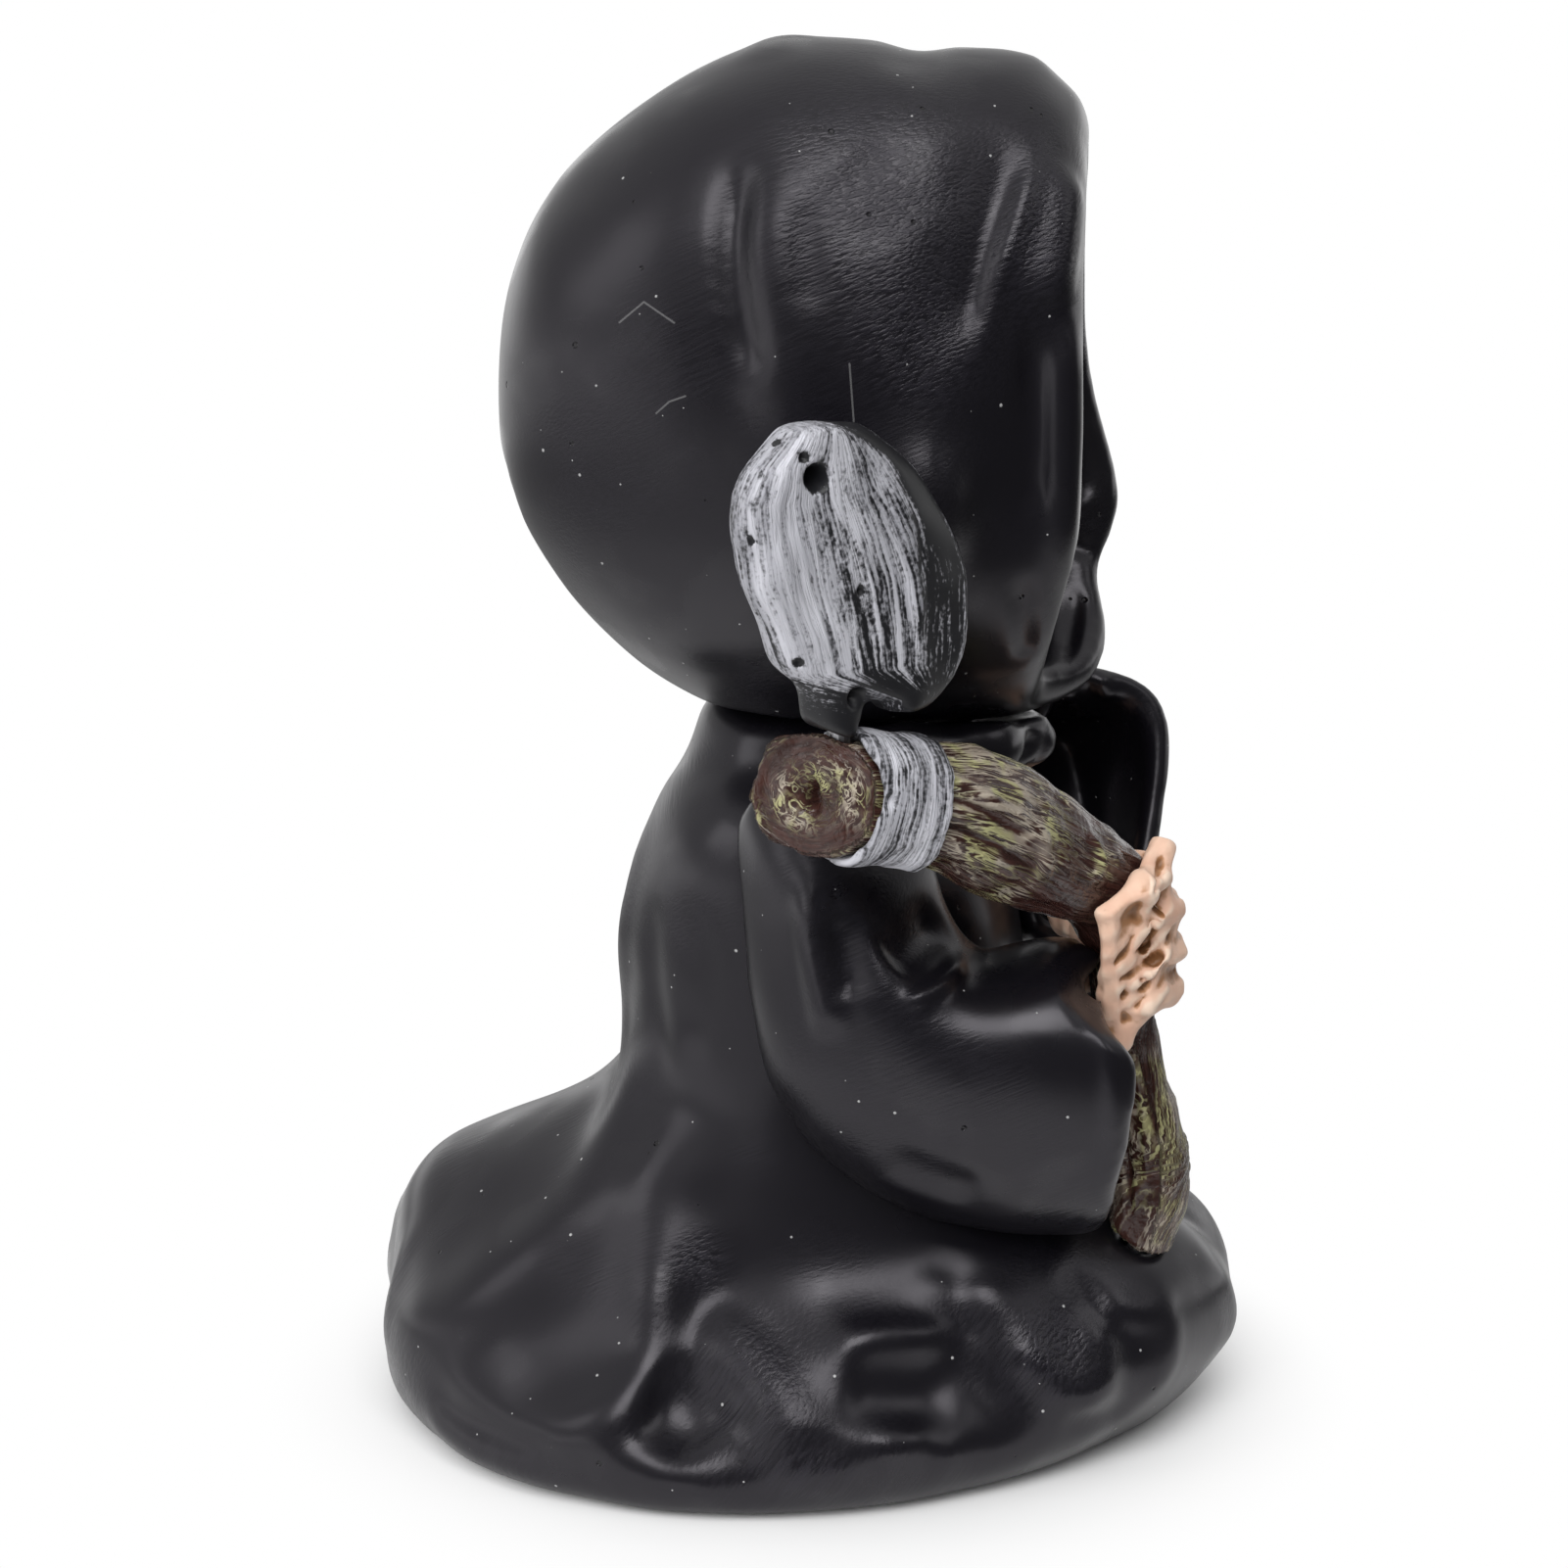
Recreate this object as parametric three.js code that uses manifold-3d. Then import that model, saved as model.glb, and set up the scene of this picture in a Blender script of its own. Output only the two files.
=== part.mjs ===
// A small reaper figurine in cast resin: a hooded, robed figure holding a gnarled scythe.
// Millimetres. Z is up, the underside lies at z = 0 and the figure faces -Y.
// Its own right side is -X. Castings are located on steel pins and glued together.

import * as THREE from 'three';
import { mergeVertices } from 'three/addons/utils/BufferGeometryUtils.js';
import Module from 'manifold-3d';

const wasm = await Module();
wasm.setup();

// Clearances

const glueGap = 0.3; // between castings that are glued face to face
const pinGap = 0.15; // round a pin in its bore
const pinEndGap = 0.4; // beyond the tip of a pin in its bore

// Robe, with the neck that plugs into the hood

const robeHeight = 52.4; // to the top of the neck
const robeSegments = 72;
const robeRings = 33;

const hemSpread = 32.2; // from the upright axis to the back of the hem

// Each row is a height on the robe, then its radius from the front, round one side, to the back.
// In the spread hem the radii are shares of how far it reaches.
const spreadRow = (height, ...shares) => [height, ...shares.map((share) => share * hemSpread)];
const robeRows = [
  spreadRow(0, 0.863, 0.801, 0.789, 0.851, 0.913, 0.938, 0.944),
  spreadRow(2.4, 0.938, 0.876, 0.851, 0.882, 0.950, 0.988, 0.988),
  spreadRow(6, 0.994, 0.925, 0.845, 0.832, 0.888, 0.981, 1),
  spreadRow(10, 0.991, 0.907, 0.770, 0.708, 0.764, 0.919, 0.994),
  spreadRow(14, 0.894, 0.832, 0.646, 0.609, 0.671, 0.832, 0.963),
  [17.6, 22.2, 21.0, 18.4, 17.9, 19.0, 22.6, 28.0],
  [21.2, 17.6, 17.4, 17.2, 16.8, 17.0, 17.4, 18.8],
  [25, 16.4, 16.8, 16.4, 15.8, 15.2, 14.4, 14.0],
  [30, 16.2, 16.6, 16.0, 15.2, 14.6, 13.8, 13.6],
  [36, 15.8, 16.4, 15.6, 15.0, 14.7, 14.1, 13.8],
  [42, 14.0, 14.4, 14.4, 14.4, 14.0, 12.9, 12.3],
  [46, 9.8, 10.2, 11.4, 12.4, 12.3, 11.2, 10.7],
  [49, 8.4, 8.4, 8.6, 9.0, 9.0, 8.7, 8.6],
  [robeHeight, 7.6, 7.6, 7.8, 8.0, 8.0, 7.8, 7.6],
];

// Folds in the spread of the robe: a ridge stands out by its reach and a hollow goes in. A path is
// a height with the angle there, in degrees from the front, positive round the right side.
const robeFolds = [
  { reach: 1.7, spread: 9, path: [[5, 156], [8, 152], [12, 141], [18, 136], [23, 142], [29, 150]] },
  { reach: 1.5, spread: 8, path: [[2, 126], [5, 120], [8, 113], [14, 115], [20, 121], [26, 124]] },
  { reach: -1.8, spread: 8, path: [[3.5, 96], [8, 101], [12, 103], [17, 104]] },
  { reach: 1.1, spread: 8, path: [[2, 82], [6, 76], [11, 77], [15, 80]] },
  { reach: -1.2, spread: 8, path: [[3, 52], [7, 56], [12, 58], [18, 60]] },
  { reach: 1.5, spread: 8, path: [[5, -151], [9, -147], [14, -139], [20, -140], [27, -150]] },
  { reach: -1.4, spread: 9, path: [[3, -128], [8, -124], [14, -120], [19, -118]] },
  { reach: 1.4, spread: 8, path: [[2, -98], [7, -104], [14, -106], [22, -112]] },
  { reach: -1.3, spread: 9, path: [[3, -70], [8, -74], [13, -76], [18, -78]] },
  { reach: 1.0, spread: 8, path: [[2, -44], [7, -48], [13, -52], [17, -56]] },
  { reach: -0.9, spread: 6, path: [[2, 168], [8, 172], [15, 175]] },
  { reach: 0.9, spread: 7, path: [[2, -175], [8, -173], [15, -173]] },
  { reach: 0.8, spread: 6, path: [[6, -11], [14, -8], [22, -8], [32, -7]] },
  { reach: -0.7, spread: 6, path: [[7, -1], [14, 2], [20, 6], [30, 9]] },
  { reach: -0.8, spread: 6, path: [[6, -27], [12, -23], [20, -26], [30, -31]] },
  { reach: 0.8, spread: 6, path: [[2, 6], [8, 8], [15, 11]] },
  { reach: 0.8, spread: 6, path: [[2, 30], [8, 27], [16, 23]] },
];
const foldFade = 4; // each fold rises over this length from its ends

// Tucks across the spread of the robe. A path is an angle with the height there, and the spread is
// a height too.
const robeTucks = [
  { reach: 1.0, spread: 1.9, path: [[60, 10.8], [70, 11.2], [78, 11.3], [86, 11.1]] },
  { reach: -1.2, spread: 2.4, path: [[50, 7.9], [62, 8.6], [71, 8.7], [80, 9.3]] },
  { reach: 1.1, spread: 2.4, path: [[80, 9.5], [88, 9.3], [96, 10.0], [106, 11.2]] },
  { reach: 0.8, spread: 2.2, path: [[43, 13.8], [52, 13.2], [60, 13.6], [70, 14.5]] },
  { reach: 1.1, spread: 2.2, path: [[36, 5.9], [45, 7.2], [49, 9.2], [56, 10.9]] },
  { reach: -1.0, spread: 1.9, path: [[32, 8.3], [39, 10.2], [43, 12.6], [48, 15.3]] },
  { reach: 1.0, spread: 2.0, path: [[-98, 12.6], [-84, 11.6], [-74, 11.8], [-60, 10.6]] },
  { reach: -1.0, spread: 2.2, path: [[-92, 9.4], [-78, 9.0], [-64, 8.6]] },
  { reach: 1.0, spread: 2.0, path: [[-58, 13], [-50, 10.4], [-47, 7], [-40, 5]] },
  { reach: -0.9, spread: 1.9, path: [[-54, 14.8], [-46, 11.6], [-38, 9.2]] },
];
const tuckFade = 7; // degrees over which each tuck rises from its ends

// Hood, from the pole at its back to the rim in front

const hoodSegments = 48;
const hoodRings = 33;
const hoodPoleCrown = 0.3; // how far the pole stands behind the first row
// Each row is a place on Y, how far the top and the bottom are over the neck, and half the width.
const hoodRows = [
  [21.8, 25.4, 19.2, 3.6],
  [20.6, 31.8, 14.0, 10.4],
  [18.0, 37.2, 9.6, 14.8],
  [13.5, 41.7, 4.6, 17.6],
  [8.2, 45.2, 0.8, 19.3],
  [2.0, 47.4, -1.5, 20.2],
  [-4.0, 47.4, -1.6, 20.2],
  [-10.0, 46.9, -1.2, 19.0],
  [-15.0, 46.6, -0.8, 17.2],
  [-18.2, 45.0, -0.4, 15.6],
  [-19.9, 41.8, 0.6, 14.0],
].map(([y, top, bottom, half]) => [y, robeHeight + top, robeHeight + bottom, half]);
const hoodSquareness = 2.25; // 2 is an ellipse, more is squarer
const hoodWall = 2.6; // across the rim
const hoodHollowDepth = 25; // from the rim to the back of the hollow
const hoodHollowSwell = 1.6; // the hollow is wider inside than at the rim
const hoodHollowReach = 12; // how far the cutter stands out of the rim
const hoodHollowBlunt = 2; // keeps the back of the hollow from closing to a point
const hoodHollowRound = 4; // power of the curve that rounds its back
const rimSetBack = 3.4; // how far the chin of the rim lies behind its brow
const rimSetBackFrom = robeHeight + 13.6; // below this height the rim runs back
const rimSetBackTo = robeHeight - 0.4;

// Upright pleats on each side of the hood. A path is a height over the neck with the place on Y.
const rightPleats = [
  { reach: -0.9, spread: 2.0, path: [[23, 1.4], [27.6, 2.6], [33, 3.5], [38, 3.4], [42, 2.6]] },
  { reach: 0.9, spread: 1.9, path: [[21, -0.6], [28, 0.6], [34, 1.2], [41, 1.4]] },
  { reach: -1.1, spread: 2.2, path: [[25, -10.6], [31, -11.8], [37, -13.0], [43, -14.6]] },
  { reach: 0.9, spread: 1.8, path: [[21, -11.2], [28, -12.6], [34, -14.4], [41.5, -16.0]] },
  { reach: -0.7, spread: 2.2, path: [[12, -14.8], [21, -14.3], [27, -14.8], [33, -15.6]] },
];
const leftPleats = [
  { reach: -0.9, spread: 2.0, path: [[22, 1.2], [29, 3.0], [36, 4.0], [42, 3.4]] },
  { reach: 0.8, spread: 2.0, path: [[20, -1.0], [28, 0.6], [35, 1.8], [41, 1.8]] },
  { reach: -1.0, spread: 2.2, path: [[19, -12.6], [28, -11.4], [36, -12.0], [43, -13.8]] },
  { reach: 0.9, spread: 1.8, path: [[17, -14.8], [27, -13.6], [35, -14.2], [42, -15.6]] },
];

// The left edge of the opening swells forward in two folds with a nick between them.
const rimFolds = [
  { height: robeHeight + 11.8, reach: 3.1, above: 8.5, below: 3.4 },
  { height: robeHeight + 3.4, reach: 2.2, above: 3.4, below: 4.2 },
];
const foldsRise = 4; // the folds rise across the middle, this far to each side
const rimShiftPower = 6; // the higher, the closer to the rim the folds stay

// Scythe: a crooked branch with a sawn knob at its head and its foot on the robe

const handleSegments = 14;
const handleRings = 34;
const handleSquareness = 2.3;
// Each row is a point on the centreline of the branch, then its radius.
const handleRows = [
  [-30.8, 1.2, 52.2, 4.3],
  [-28.6, -1.9, 51.7, 4.4],
  [-26.6, -4.9, 51.2, 3.7],
  [-24.0, -8.4, 50.4, 3.7],
  [-21.4, -11.8, 49.3, 4.5],
  [-18.6, -15.2, 46.9, 4.5],
  [-15.6, -18.8, 44.4, 3.9],
  [-12.8, -21.6, 42.2, 3.4],
  [-10.8, -22.8, 38.6, 2.7],
  [-9.6, -23.2, 34.8, 2.3],
  [-8.7, -23.6, 31.0, 2.1],
  [-8.1, -24.6, 26.4, 2.2],
  [-8.0, -25.5, 21.0, 2.9],
  [-8.5, -25.3, 16.8, 2.8],
  [-9.2, -24.3, 12.6, 2.3],
];
const sawnEnd = new THREE.Vector3(-28.0, -2.8, 51.5); // middle of the sawn face of the knob
const sawnFacing = new THREE.Vector3(-0.906, 0.4, 0.15).normalize();
const offcutSize = 30;

// Ferrule round the branch, next to the knob
const ferruleFrom = 1.8; // along the rows of the branch
const ferruleTo = 3.2;
const ferruleWall = 0.6;
const ferruleRings = 6;
const ferruleSegments = 18;
const ferruleSquareness = 2.4;

// Blade, upright over the knob and in line with the top of the branch
const bladeThickness = 4.2;
const bladeBack = 1.9; // thickness of its back edge
const bladeBevel = 1.6; // from the back edge to the full thickness
const bladeCrown = 0.1; // how far each flat swells at its middle
const bladeEdge = 1.4; // thickness of the blunt cutting edge
const bladeRings = 20;
// Each row is a height over the sawn end, then the back, the ridge and the edge along the branch.
const bladeRows = [
  [5.0, 5.2, 6.8, 8.6],
  [6.1, 4.2, 6.9, 10.2],
  [8.3, -2.9, 6.9, 11.4],
  [11.1, -4.0, 7.0, 11.9],
  [14.3, -5.4, 7.1, 11.8],
  [17.1, -5.9, 6.8, 10.4],
  [19.7, -6.1, 6.0, 8.6],
  [22.1, -5.0, 4.6, 6.4],
  [24.4, -2.4, 1.0, 3.0],
];
const bladeHeading = Math.atan2(-0.79, 0.612); // seen from above
const bladeNeckAlong = 1.0; // its middle, along the branch from the sawn end
const bladeNeckHalf = 2.3; // half its width along the branch
const bladeNeckHalfThick = 2.0;
const bladeNeckFrom = 2.1; // over the sawn end
const bladeNeckTo = 9.3;
const bladeNeckSides = 10;

// Boss on the hood that the inner face of the blade leans on, in the blade's own directions
const bossAlong = 11.05;
const bossInward = 3.8;
const bossUp = 18.3;
const bossHalf = new THREE.Vector3(3.8, 3.4, 5.0);

// Sleeves

const sleeveSegments = 32;
const sleeveRings = 13;
// Each row is a point on the centreline, half the width, the reach upward, the reach downward
// and the roll of the section in degrees.
const rightSleeveRows = [
  [-8.5, 0.6, 46.0, 5.4, 5.2, 5.2, 0],
  [-12.2, -3.0, 42.0, 7.2, 5.6, 6.6, 0],
  [-13.8, -5.8, 36.0, 8.2, 5.8, 9.0, 4],
  [-14.0, -9.2, 30.8, 8.6, 8.0, 11.0, 10],
  [-13.6, -15.2, 27.8, 8.8, 10.4, 10.6, 14],
  [-12.4, -22.6, 27.2, 8.8, 10.6, 10.0, 14],
];
const leftSleeveRows = [
  [8.5, 0.6, 46.0, 5.4, 5.2, 5.2, 0],
  [14.2, -2.0, 42.0, 7.4, 7.2, 7.6, 0],
  [17.4, -6.4, 38.4, 7.8, 8.0, 9.0, -5],
  [17.8, -12.6, 38.0, 7.6, 8.8, 10.4, -10],
  [14.6, -18.0, 40.4, 6.8, 9.8, 11.4, -14],
  [8.6, -20.8, 43.2, 6.4, 11.0, 11.6, -18],
];
const rightSleeveSquareness = 2.6;
const leftSleeveSquareness = 3.4;
const cuffWall = 2.0;
const cuffHollowFrom = 3.8; // along the rows of a sleeve, where its hollow ends
const cuffHollowRings = 5;
const cuffOutlet = 3; // how far the cutter stands out of the mouth

// Hands of bone, the right one round the branch and the left one a loose fist

const fingerSides = 7;
const fingerSteps = 8;
const fingerRadius = 1.1;
const knuckleSwell = 0.16; // how much thicker a knuckle is, as a share of the finger
const fingerCount = 4;
const wristSides = 10;
const rightGripFrom = 6.7; // along the rows of the branch
const rightGripTo = 9.25;
const rightFingerBend = [195, 235, 280, 330, 375, 410]; // degrees round the branch, knuckle by knuckle
const rightPalm = { centre: [-13.2, -24.0, 35.0], half: [1.5, 1.9, 3.4] };
const rightWrist = { from: [-12.9, -15.2, 28.2], to: [-13.0, -22.8, 31.4], radius: 1.6 };
const rightThumb = [
  [-13.4, -22.8, 34.4],
  [-14.8, -22.2, 38.6],
  [-15.0, -24.4, 42.4],
  [-12.6, -26.0, 45.2],
];
const leftPalm = { centre: [0.6, -19.2, 38.6], half: [2.6, 2.0, 3.4] };
const leftWrist = { from: [13.2, -18.2, 39.8], to: [2.4, -19.4, 38.6], radius: 1.8 };
const leftFingerBend = [0, 50, 100, 150, 200]; // degrees round the middle of the fist
const leftFist = { forward: 1.6, halfWide: 2.9, halfDeep: 1.8 };

// Skull, set back inside the hood

const skullCentre = new THREE.Vector3(0, -4.2, robeHeight + 24.8);
const skullHalf = new THREE.Vector3(11.0, 8.6, 11.8);
const jawCentre = new THREE.Vector3(0, -7.8, robeHeight + 13.2);
const jawHalf = new THREE.Vector3(7.6, 4.8, 6.4);
const eyeOffset = 4.6; // from the middle of the face
const eyeDrop = 3.8; // below the middle of the cranium
const eyeSink = 1.2; // behind the front of the cranium
const eyeHalf = new THREE.Vector3(3.4, 3.4, 3.6);
const noseDrop = 9.0;
const noseSink = 1.2;
const noseHalf = new THREE.Vector3(1.7, 3.4, 2.4);

// Rolled collar under the chin

const collarCentre = new THREE.Vector3(0, -6.4, robeHeight - 2.2);
const collarRadius = 8.6;
const collarRoll = 2.8;
const collarLobes = 9;
const collarLobeSwell = 0.14;
const collarSegments = 45;
const collarSides = 10;

// Felt pad, let in flush with the underside

const padThickness = 1.0;
const padMargin = 4.2; // from the robe's outline to the recess
const padRecessBelow = 1; // how far the recess's cutter stands out of the underside

// Pins

const pinSides = 12;
const neckPinRadius = 1.5;
const neckPinBack = 4; // behind the middle of the neck, where the hood is thick
const neckPinDown = 10.4; // below the top of the neck
const neckPinUp = 6.0; // above it
const skullPinRadius = 1.2;
const skullPinSeat = 8.9; // into the back wall of the hood
const skullPinReach = 2.7; // behind the middle of the cranium
const shoulderPinRadius = 1.0;
const wristPinRadius = 0.8;
const tangPinRadius = 0.7;
const tangAlong = 1.9; // along the branch from the sawn end
const tangDown = 1.1; // below the sawn end
const tangUp = 10.5; // above it
const footPinRadius = 0.9;

// Shapes

// Rows of numbers are carried on a smooth line through the rows given.
function along(rows, place) {
  const last = rows.length - 1;
  const at = THREE.MathUtils.clamp(place, 0, last);
  const index = Math.min(Math.floor(at), last - 1);
  const t = at - index;
  const before = rows[Math.max(index - 1, 0)];
  const start = rows[index];
  const end = rows[index + 1];
  const after = rows[Math.min(index + 2, last)];
  return start.map((value, column) => {
    const slopeIn = (end[column] - before[column]) / 2;
    const slopeOut = (after[column] - value) / 2;
    const fall = value - end[column];
    const cubic = 2 * fall + slopeIn + slopeOut;
    const square = -3 * fall - 2 * slopeIn - slopeOut;
    return ((cubic * t + square) * t + slopeIn) * t + value;
  });
}

// The way that the rows run at a place.
function headingAlong(rows, place) {
  const step = 0.02;
  const ahead = vector(along(rows, place + step).slice(0, 3));
  const behind = vector(along(rows, place - step).slice(0, 3));
  return ahead.sub(behind).normalize();
}

// A ring of points for each of several places from the first row to the last.
function ringsAlong(rows, count, ringAt, from = 0, to = rows.length - 1) {
  return Array.from({ length: count }, (_, ring) => ringAt(from + ((to - from) * ring) / (count - 1)));
}

// Closed skin over a stack of rings, with a fan to a tip at each end.
function skin(rings, firstTip, lastTip) {
  const perRing = rings[0].length;
  const tips = [firstTip ?? middle(rings[0]), lastTip ?? middle(rings[rings.length - 1])];
  const points = [...rings.flat(), ...tips];
  const firstTipIndex = points.length - 2;
  const lastRing = (rings.length - 1) * perRing;
  const triangles = [];
  for (let side = 0; side < perRing; side++) {
    const next = (side + 1) % perRing;
    triangles.push([firstTipIndex, next, side]);
    triangles.push([firstTipIndex + 1, lastRing + side, lastRing + next]);
    for (let ring = 0; ring < lastRing; ring += perRing) {
      triangles.push([ring + side, ring + next, ring + perRing + side]);
      triangles.push([ring + next, ring + perRing + next, ring + perRing + side]);
    }
  }
  return solidFrom(points, triangles);
}

function middle(points) {
  const sum = new THREE.Vector3();
  points.forEach((point) => sum.add(point));
  return sum.divideScalar(points.length);
}

function solidFrom(points, triangles) {
  const volume = triangles.reduce(
    (sum, [a, b, c]) => sum + points[a].dot(points[b].clone().cross(points[c])),
    0,
  );
  const outward = volume > 0 ? triangles : triangles.map(([a, b, c]) => [a, c, b]);
  const geometry = new THREE.BufferGeometry().setFromPoints(points);
  geometry.setIndex(outward.flat());
  return solidOf(geometry);
}

function solidOf(geometry) {
  geometry.deleteAttribute('normal');
  geometry.deleteAttribute('uv');
  const merged = mergeVertices(geometry);
  return new wasm.Manifold(
    new wasm.Mesh({
      numProp: 3,
      vertProperties: merged.attributes.position.array,
      triVerts: new Uint32Array(merged.index.array),
    }),
  );
}

// One body: crumbs that a cut leaves behind are dropped.
function mainBody(solid) {
  return solid.decompose().reduce((best, piece) => (piece.volume() > best.volume() ? piece : best));
}

function cut(solid, ...tools) {
  return mainBody(tools.reduce((rest, tool) => rest.subtract(tool), solid));
}

function joined(...solids) {
  return solids.reduce((sum, solid) => sum.add(solid));
}

function vector(coordinates) {
  return new THREE.Vector3(...coordinates);
}

// The outline of a squarish oval, at an angle from its top.
function oval(angle, squareness) {
  const across = Math.sin(angle);
  const up = Math.cos(angle);
  const power = 2 / squareness;
  return {
    across: Math.sign(across) * Math.abs(across) ** power,
    up: Math.sign(up) * Math.abs(up) ** power,
  };
}

function turns(count) {
  return Array.from({ length: count }, (_, step) => (step * 2 * Math.PI) / count);
}

// Sweeps an oval section along rows that each start with a point, then give its size and roll.
function sweep(rows, { segments, rings, squareness = 2, grow = 0, from = 0, to = rows.length - 1 }) {
  const ringAt = (place) => {
    const [x, y, z, halfWide, reachUp = halfWide, reachDown = reachUp, roll = 0] = along(rows, place);
    const heading = headingAlong(rows, place);
    const tall = new THREE.Vector3(0, 0, 1).projectOnPlane(heading);
    const steepness = 0.35; // a steeper heading than this leans its section on +Y
    if (tall.length() < steepness) tall.lerp(new THREE.Vector3(0, 1, 0).projectOnPlane(heading), 1 / 2);
    tall.normalize().applyAxisAngle(heading, THREE.MathUtils.degToRad(roll));
    const wide = tall.clone().cross(heading);
    return turns(segments).map((angle) => {
      const { across, up } = oval(angle, squareness);
      return new THREE.Vector3(x, y, z)
        .addScaledVector(wide, across * (halfWide + grow))
        .addScaledVector(tall, up * ((up > 0 ? reachUp : reachDown) + grow));
    });
  };
  return skin(ringsAlong(rows, rings, ringAt, from, to));
}

function pinSolid({ from, to, radius }, grow = 0, endGrow = 0) {
  const axis = to.clone().sub(from);
  const length = axis.length() + 2 * endGrow;
  const geometry = new THREE.CylinderGeometry(radius + grow, radius + grow, length, pinSides);
  geometry.applyQuaternion(
    new THREE.Quaternion().setFromUnitVectors(new THREE.Vector3(0, 1, 0), axis.normalize()),
  );
  geometry.translate(...from.clone().add(to).divideScalar(2));
  return solidOf(geometry);
}

function bore(pin) {
  return pinSolid(pin, pinGap, pinEndGap);
}

function ellipsoid(centre, half, { grow = 0, across = 20, down = 12 } = {}) {
  const geometry = new THREE.SphereGeometry(1, across, down);
  geometry.scale(half.x + grow, half.y + grow, half.z + grow);
  geometry.translate(centre.x, centre.y, centre.z);
  return solidOf(geometry);
}

// Robe

function robeRadius(row, angle) {
  const round = row.slice(1);
  const columns = [round[1], ...round, round[round.length - 2]];
  const place = (Math.abs(angle) / Math.PI) * (round.length - 1);
  const index = Math.min(Math.floor(place), round.length - 2);
  const neighbours = columns.slice(index, index + 4).map((radius) => [radius]);
  return along(neighbours, 1 + place - index)[0];
}

// The second value of the rows of a path where the first is given, in straight lines between them.
function onPath(path, place) {
  const next = path.findIndex(([start]) => start > place);
  if (next < 1) return path[next === 0 ? 0 : path.length - 1][1];
  const [[before, first], [after, second]] = [path[next - 1], path[next]];
  return THREE.MathUtils.mapLinear(place, before, after, first, second);
}

// How far folds stand out together, at a place along their paths and a place across them.
function foldReach(folds, place, across, fade) {
  return folds.reduce((sum, { reach, spread, path }) => {
    const [start, end] = [path[0][0], path[path.length - 1][0]];
    const rise = THREE.MathUtils.smoothstep(place, start, start + fade);
    const fall = 1 - THREE.MathUtils.smoothstep(place, end - fade, end);
    const off = (across - onPath(path, place)) / spread;
    return sum + reach * rise * fall * Math.exp(-(off ** 2));
  }, 0);
}

function robeRing(place, grow = 0) {
  const row = along(robeRows, place);
  return turns(robeSegments).map((turn) => {
    const angle = turn > Math.PI ? turn - 2 * Math.PI : turn;
    const degrees = THREE.MathUtils.radToDeg(angle);
    const height = row[0];
    const folds = foldReach(robeFolds, height, degrees, foldFade);
    const tucks = foldReach(robeTucks, degrees, height, tuckFade);
    const radius = robeRadius(row, angle) + folds + tucks + grow;
    return new THREE.Vector3(-Math.sin(angle) * radius, -Math.cos(angle) * radius, height);
  });
}

function robeShape(grow = 0) {
  const rings = ringsAlong(robeRows, robeRings, (place) => robeRing(place, grow));
  rings[rings.length - 1].forEach((point) => point.setZ(robeHeight + grow));
  return skin(rings);
}

function padOutline(shrink, bottom, top) {
  const outline = robeRing(0, -padMargin - shrink);
  const shape = new THREE.Shape(outline.map((point) => new THREE.Vector2(point.x, point.y)));
  const geometry = new THREE.ExtrudeGeometry(shape, { depth: top - bottom, bevelEnabled: false });
  geometry.translate(0, 0, bottom);
  return solidOf(geometry);
}

// Hood

function hoodRing(place, grow) {
  const [y, top, bottom, half] = along(hoodRows, place);
  const centre = (top + bottom) / 2;
  const tall = (top - bottom) / 2;
  const share = place / (hoodRows.length - 1);
  return turns(hoodSegments).map((angle) => {
    const { across, up } = oval(angle, hoodSquareness);
    const pleats = across > 0 ? rightPleats : leftPleats;
    const reach = grow + foldReach(pleats, centre + up * tall - robeHeight, y, foldFade);
    const z = centre + up * (tall + reach);
    const x = -across * (half + reach);
    return new THREE.Vector3(x, y + rimShift(x, z) * share ** rimShiftPower, z);
  });
}

// The rim runs back towards the chin, and on the left it swells forward in folds.
function rimShift(x, z) {
  const below = Math.max(0, rimSetBackFrom - z) / (rimSetBackFrom - rimSetBackTo);
  const folds = rimFolds.reduce((sum, fold) => {
    const spread = z > fold.height ? fold.above : fold.below;
    return sum + fold.reach * Math.exp(-(((z - fold.height) / spread) ** 2));
  }, 0);
  const leftShare = THREE.MathUtils.smoothstep(x, -foldsRise, foldsRise);
  return rimSetBack * below * (1 - leftShare) - folds * leftShare;
}

function hoodShape(grow = 0) {
  const rings = ringsAlong(hoodRows, hoodRings, (place) => hoodRing(place, grow));
  const [y, top, bottom] = hoodRows[0];
  return skin(rings, new THREE.Vector3(0, y + hoodPoleCrown + grow, (top + bottom) / 2));
}

// The hollow of the hood, from in front of the rim to its back, smaller all round by a gap.
function hoodHollow(gap = 0) {
  const [rimY, rimTop, rimBottom, rimHalf] = hoodRim;
  const inside = [0.3, 0.5, 0.7, 0.85, 1].map((share) => share * (hoodHollowDepth - gap));
  const rings = [-hoodHollowReach, 0, hoodWall, ...inside].map((depth) => {
    const closing = (Math.max(depth, 0) / (hoodHollowDepth + hoodHollowBlunt)) ** hoodHollowRound;
    const size = Math.sqrt(1 - closing);
    const swell = hoodHollowSwell * THREE.MathUtils.smoothstep(depth, 0, hoodHollowDepth / 2);
    const inset = hoodWall + gap - swell;
    return turns(hoodSegments).map((angle) => {
      const { across, up } = oval(angle, hoodSquareness);
      return new THREE.Vector3(
        -across * (rimHalf - inset) * size,
        rimY + depth,
        (rimTop + rimBottom) / 2 + up * ((rimTop - rimBottom) / 2 - inset) * size,
      );
    });
  });
  return skin(rings);
}

// Hands

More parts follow.
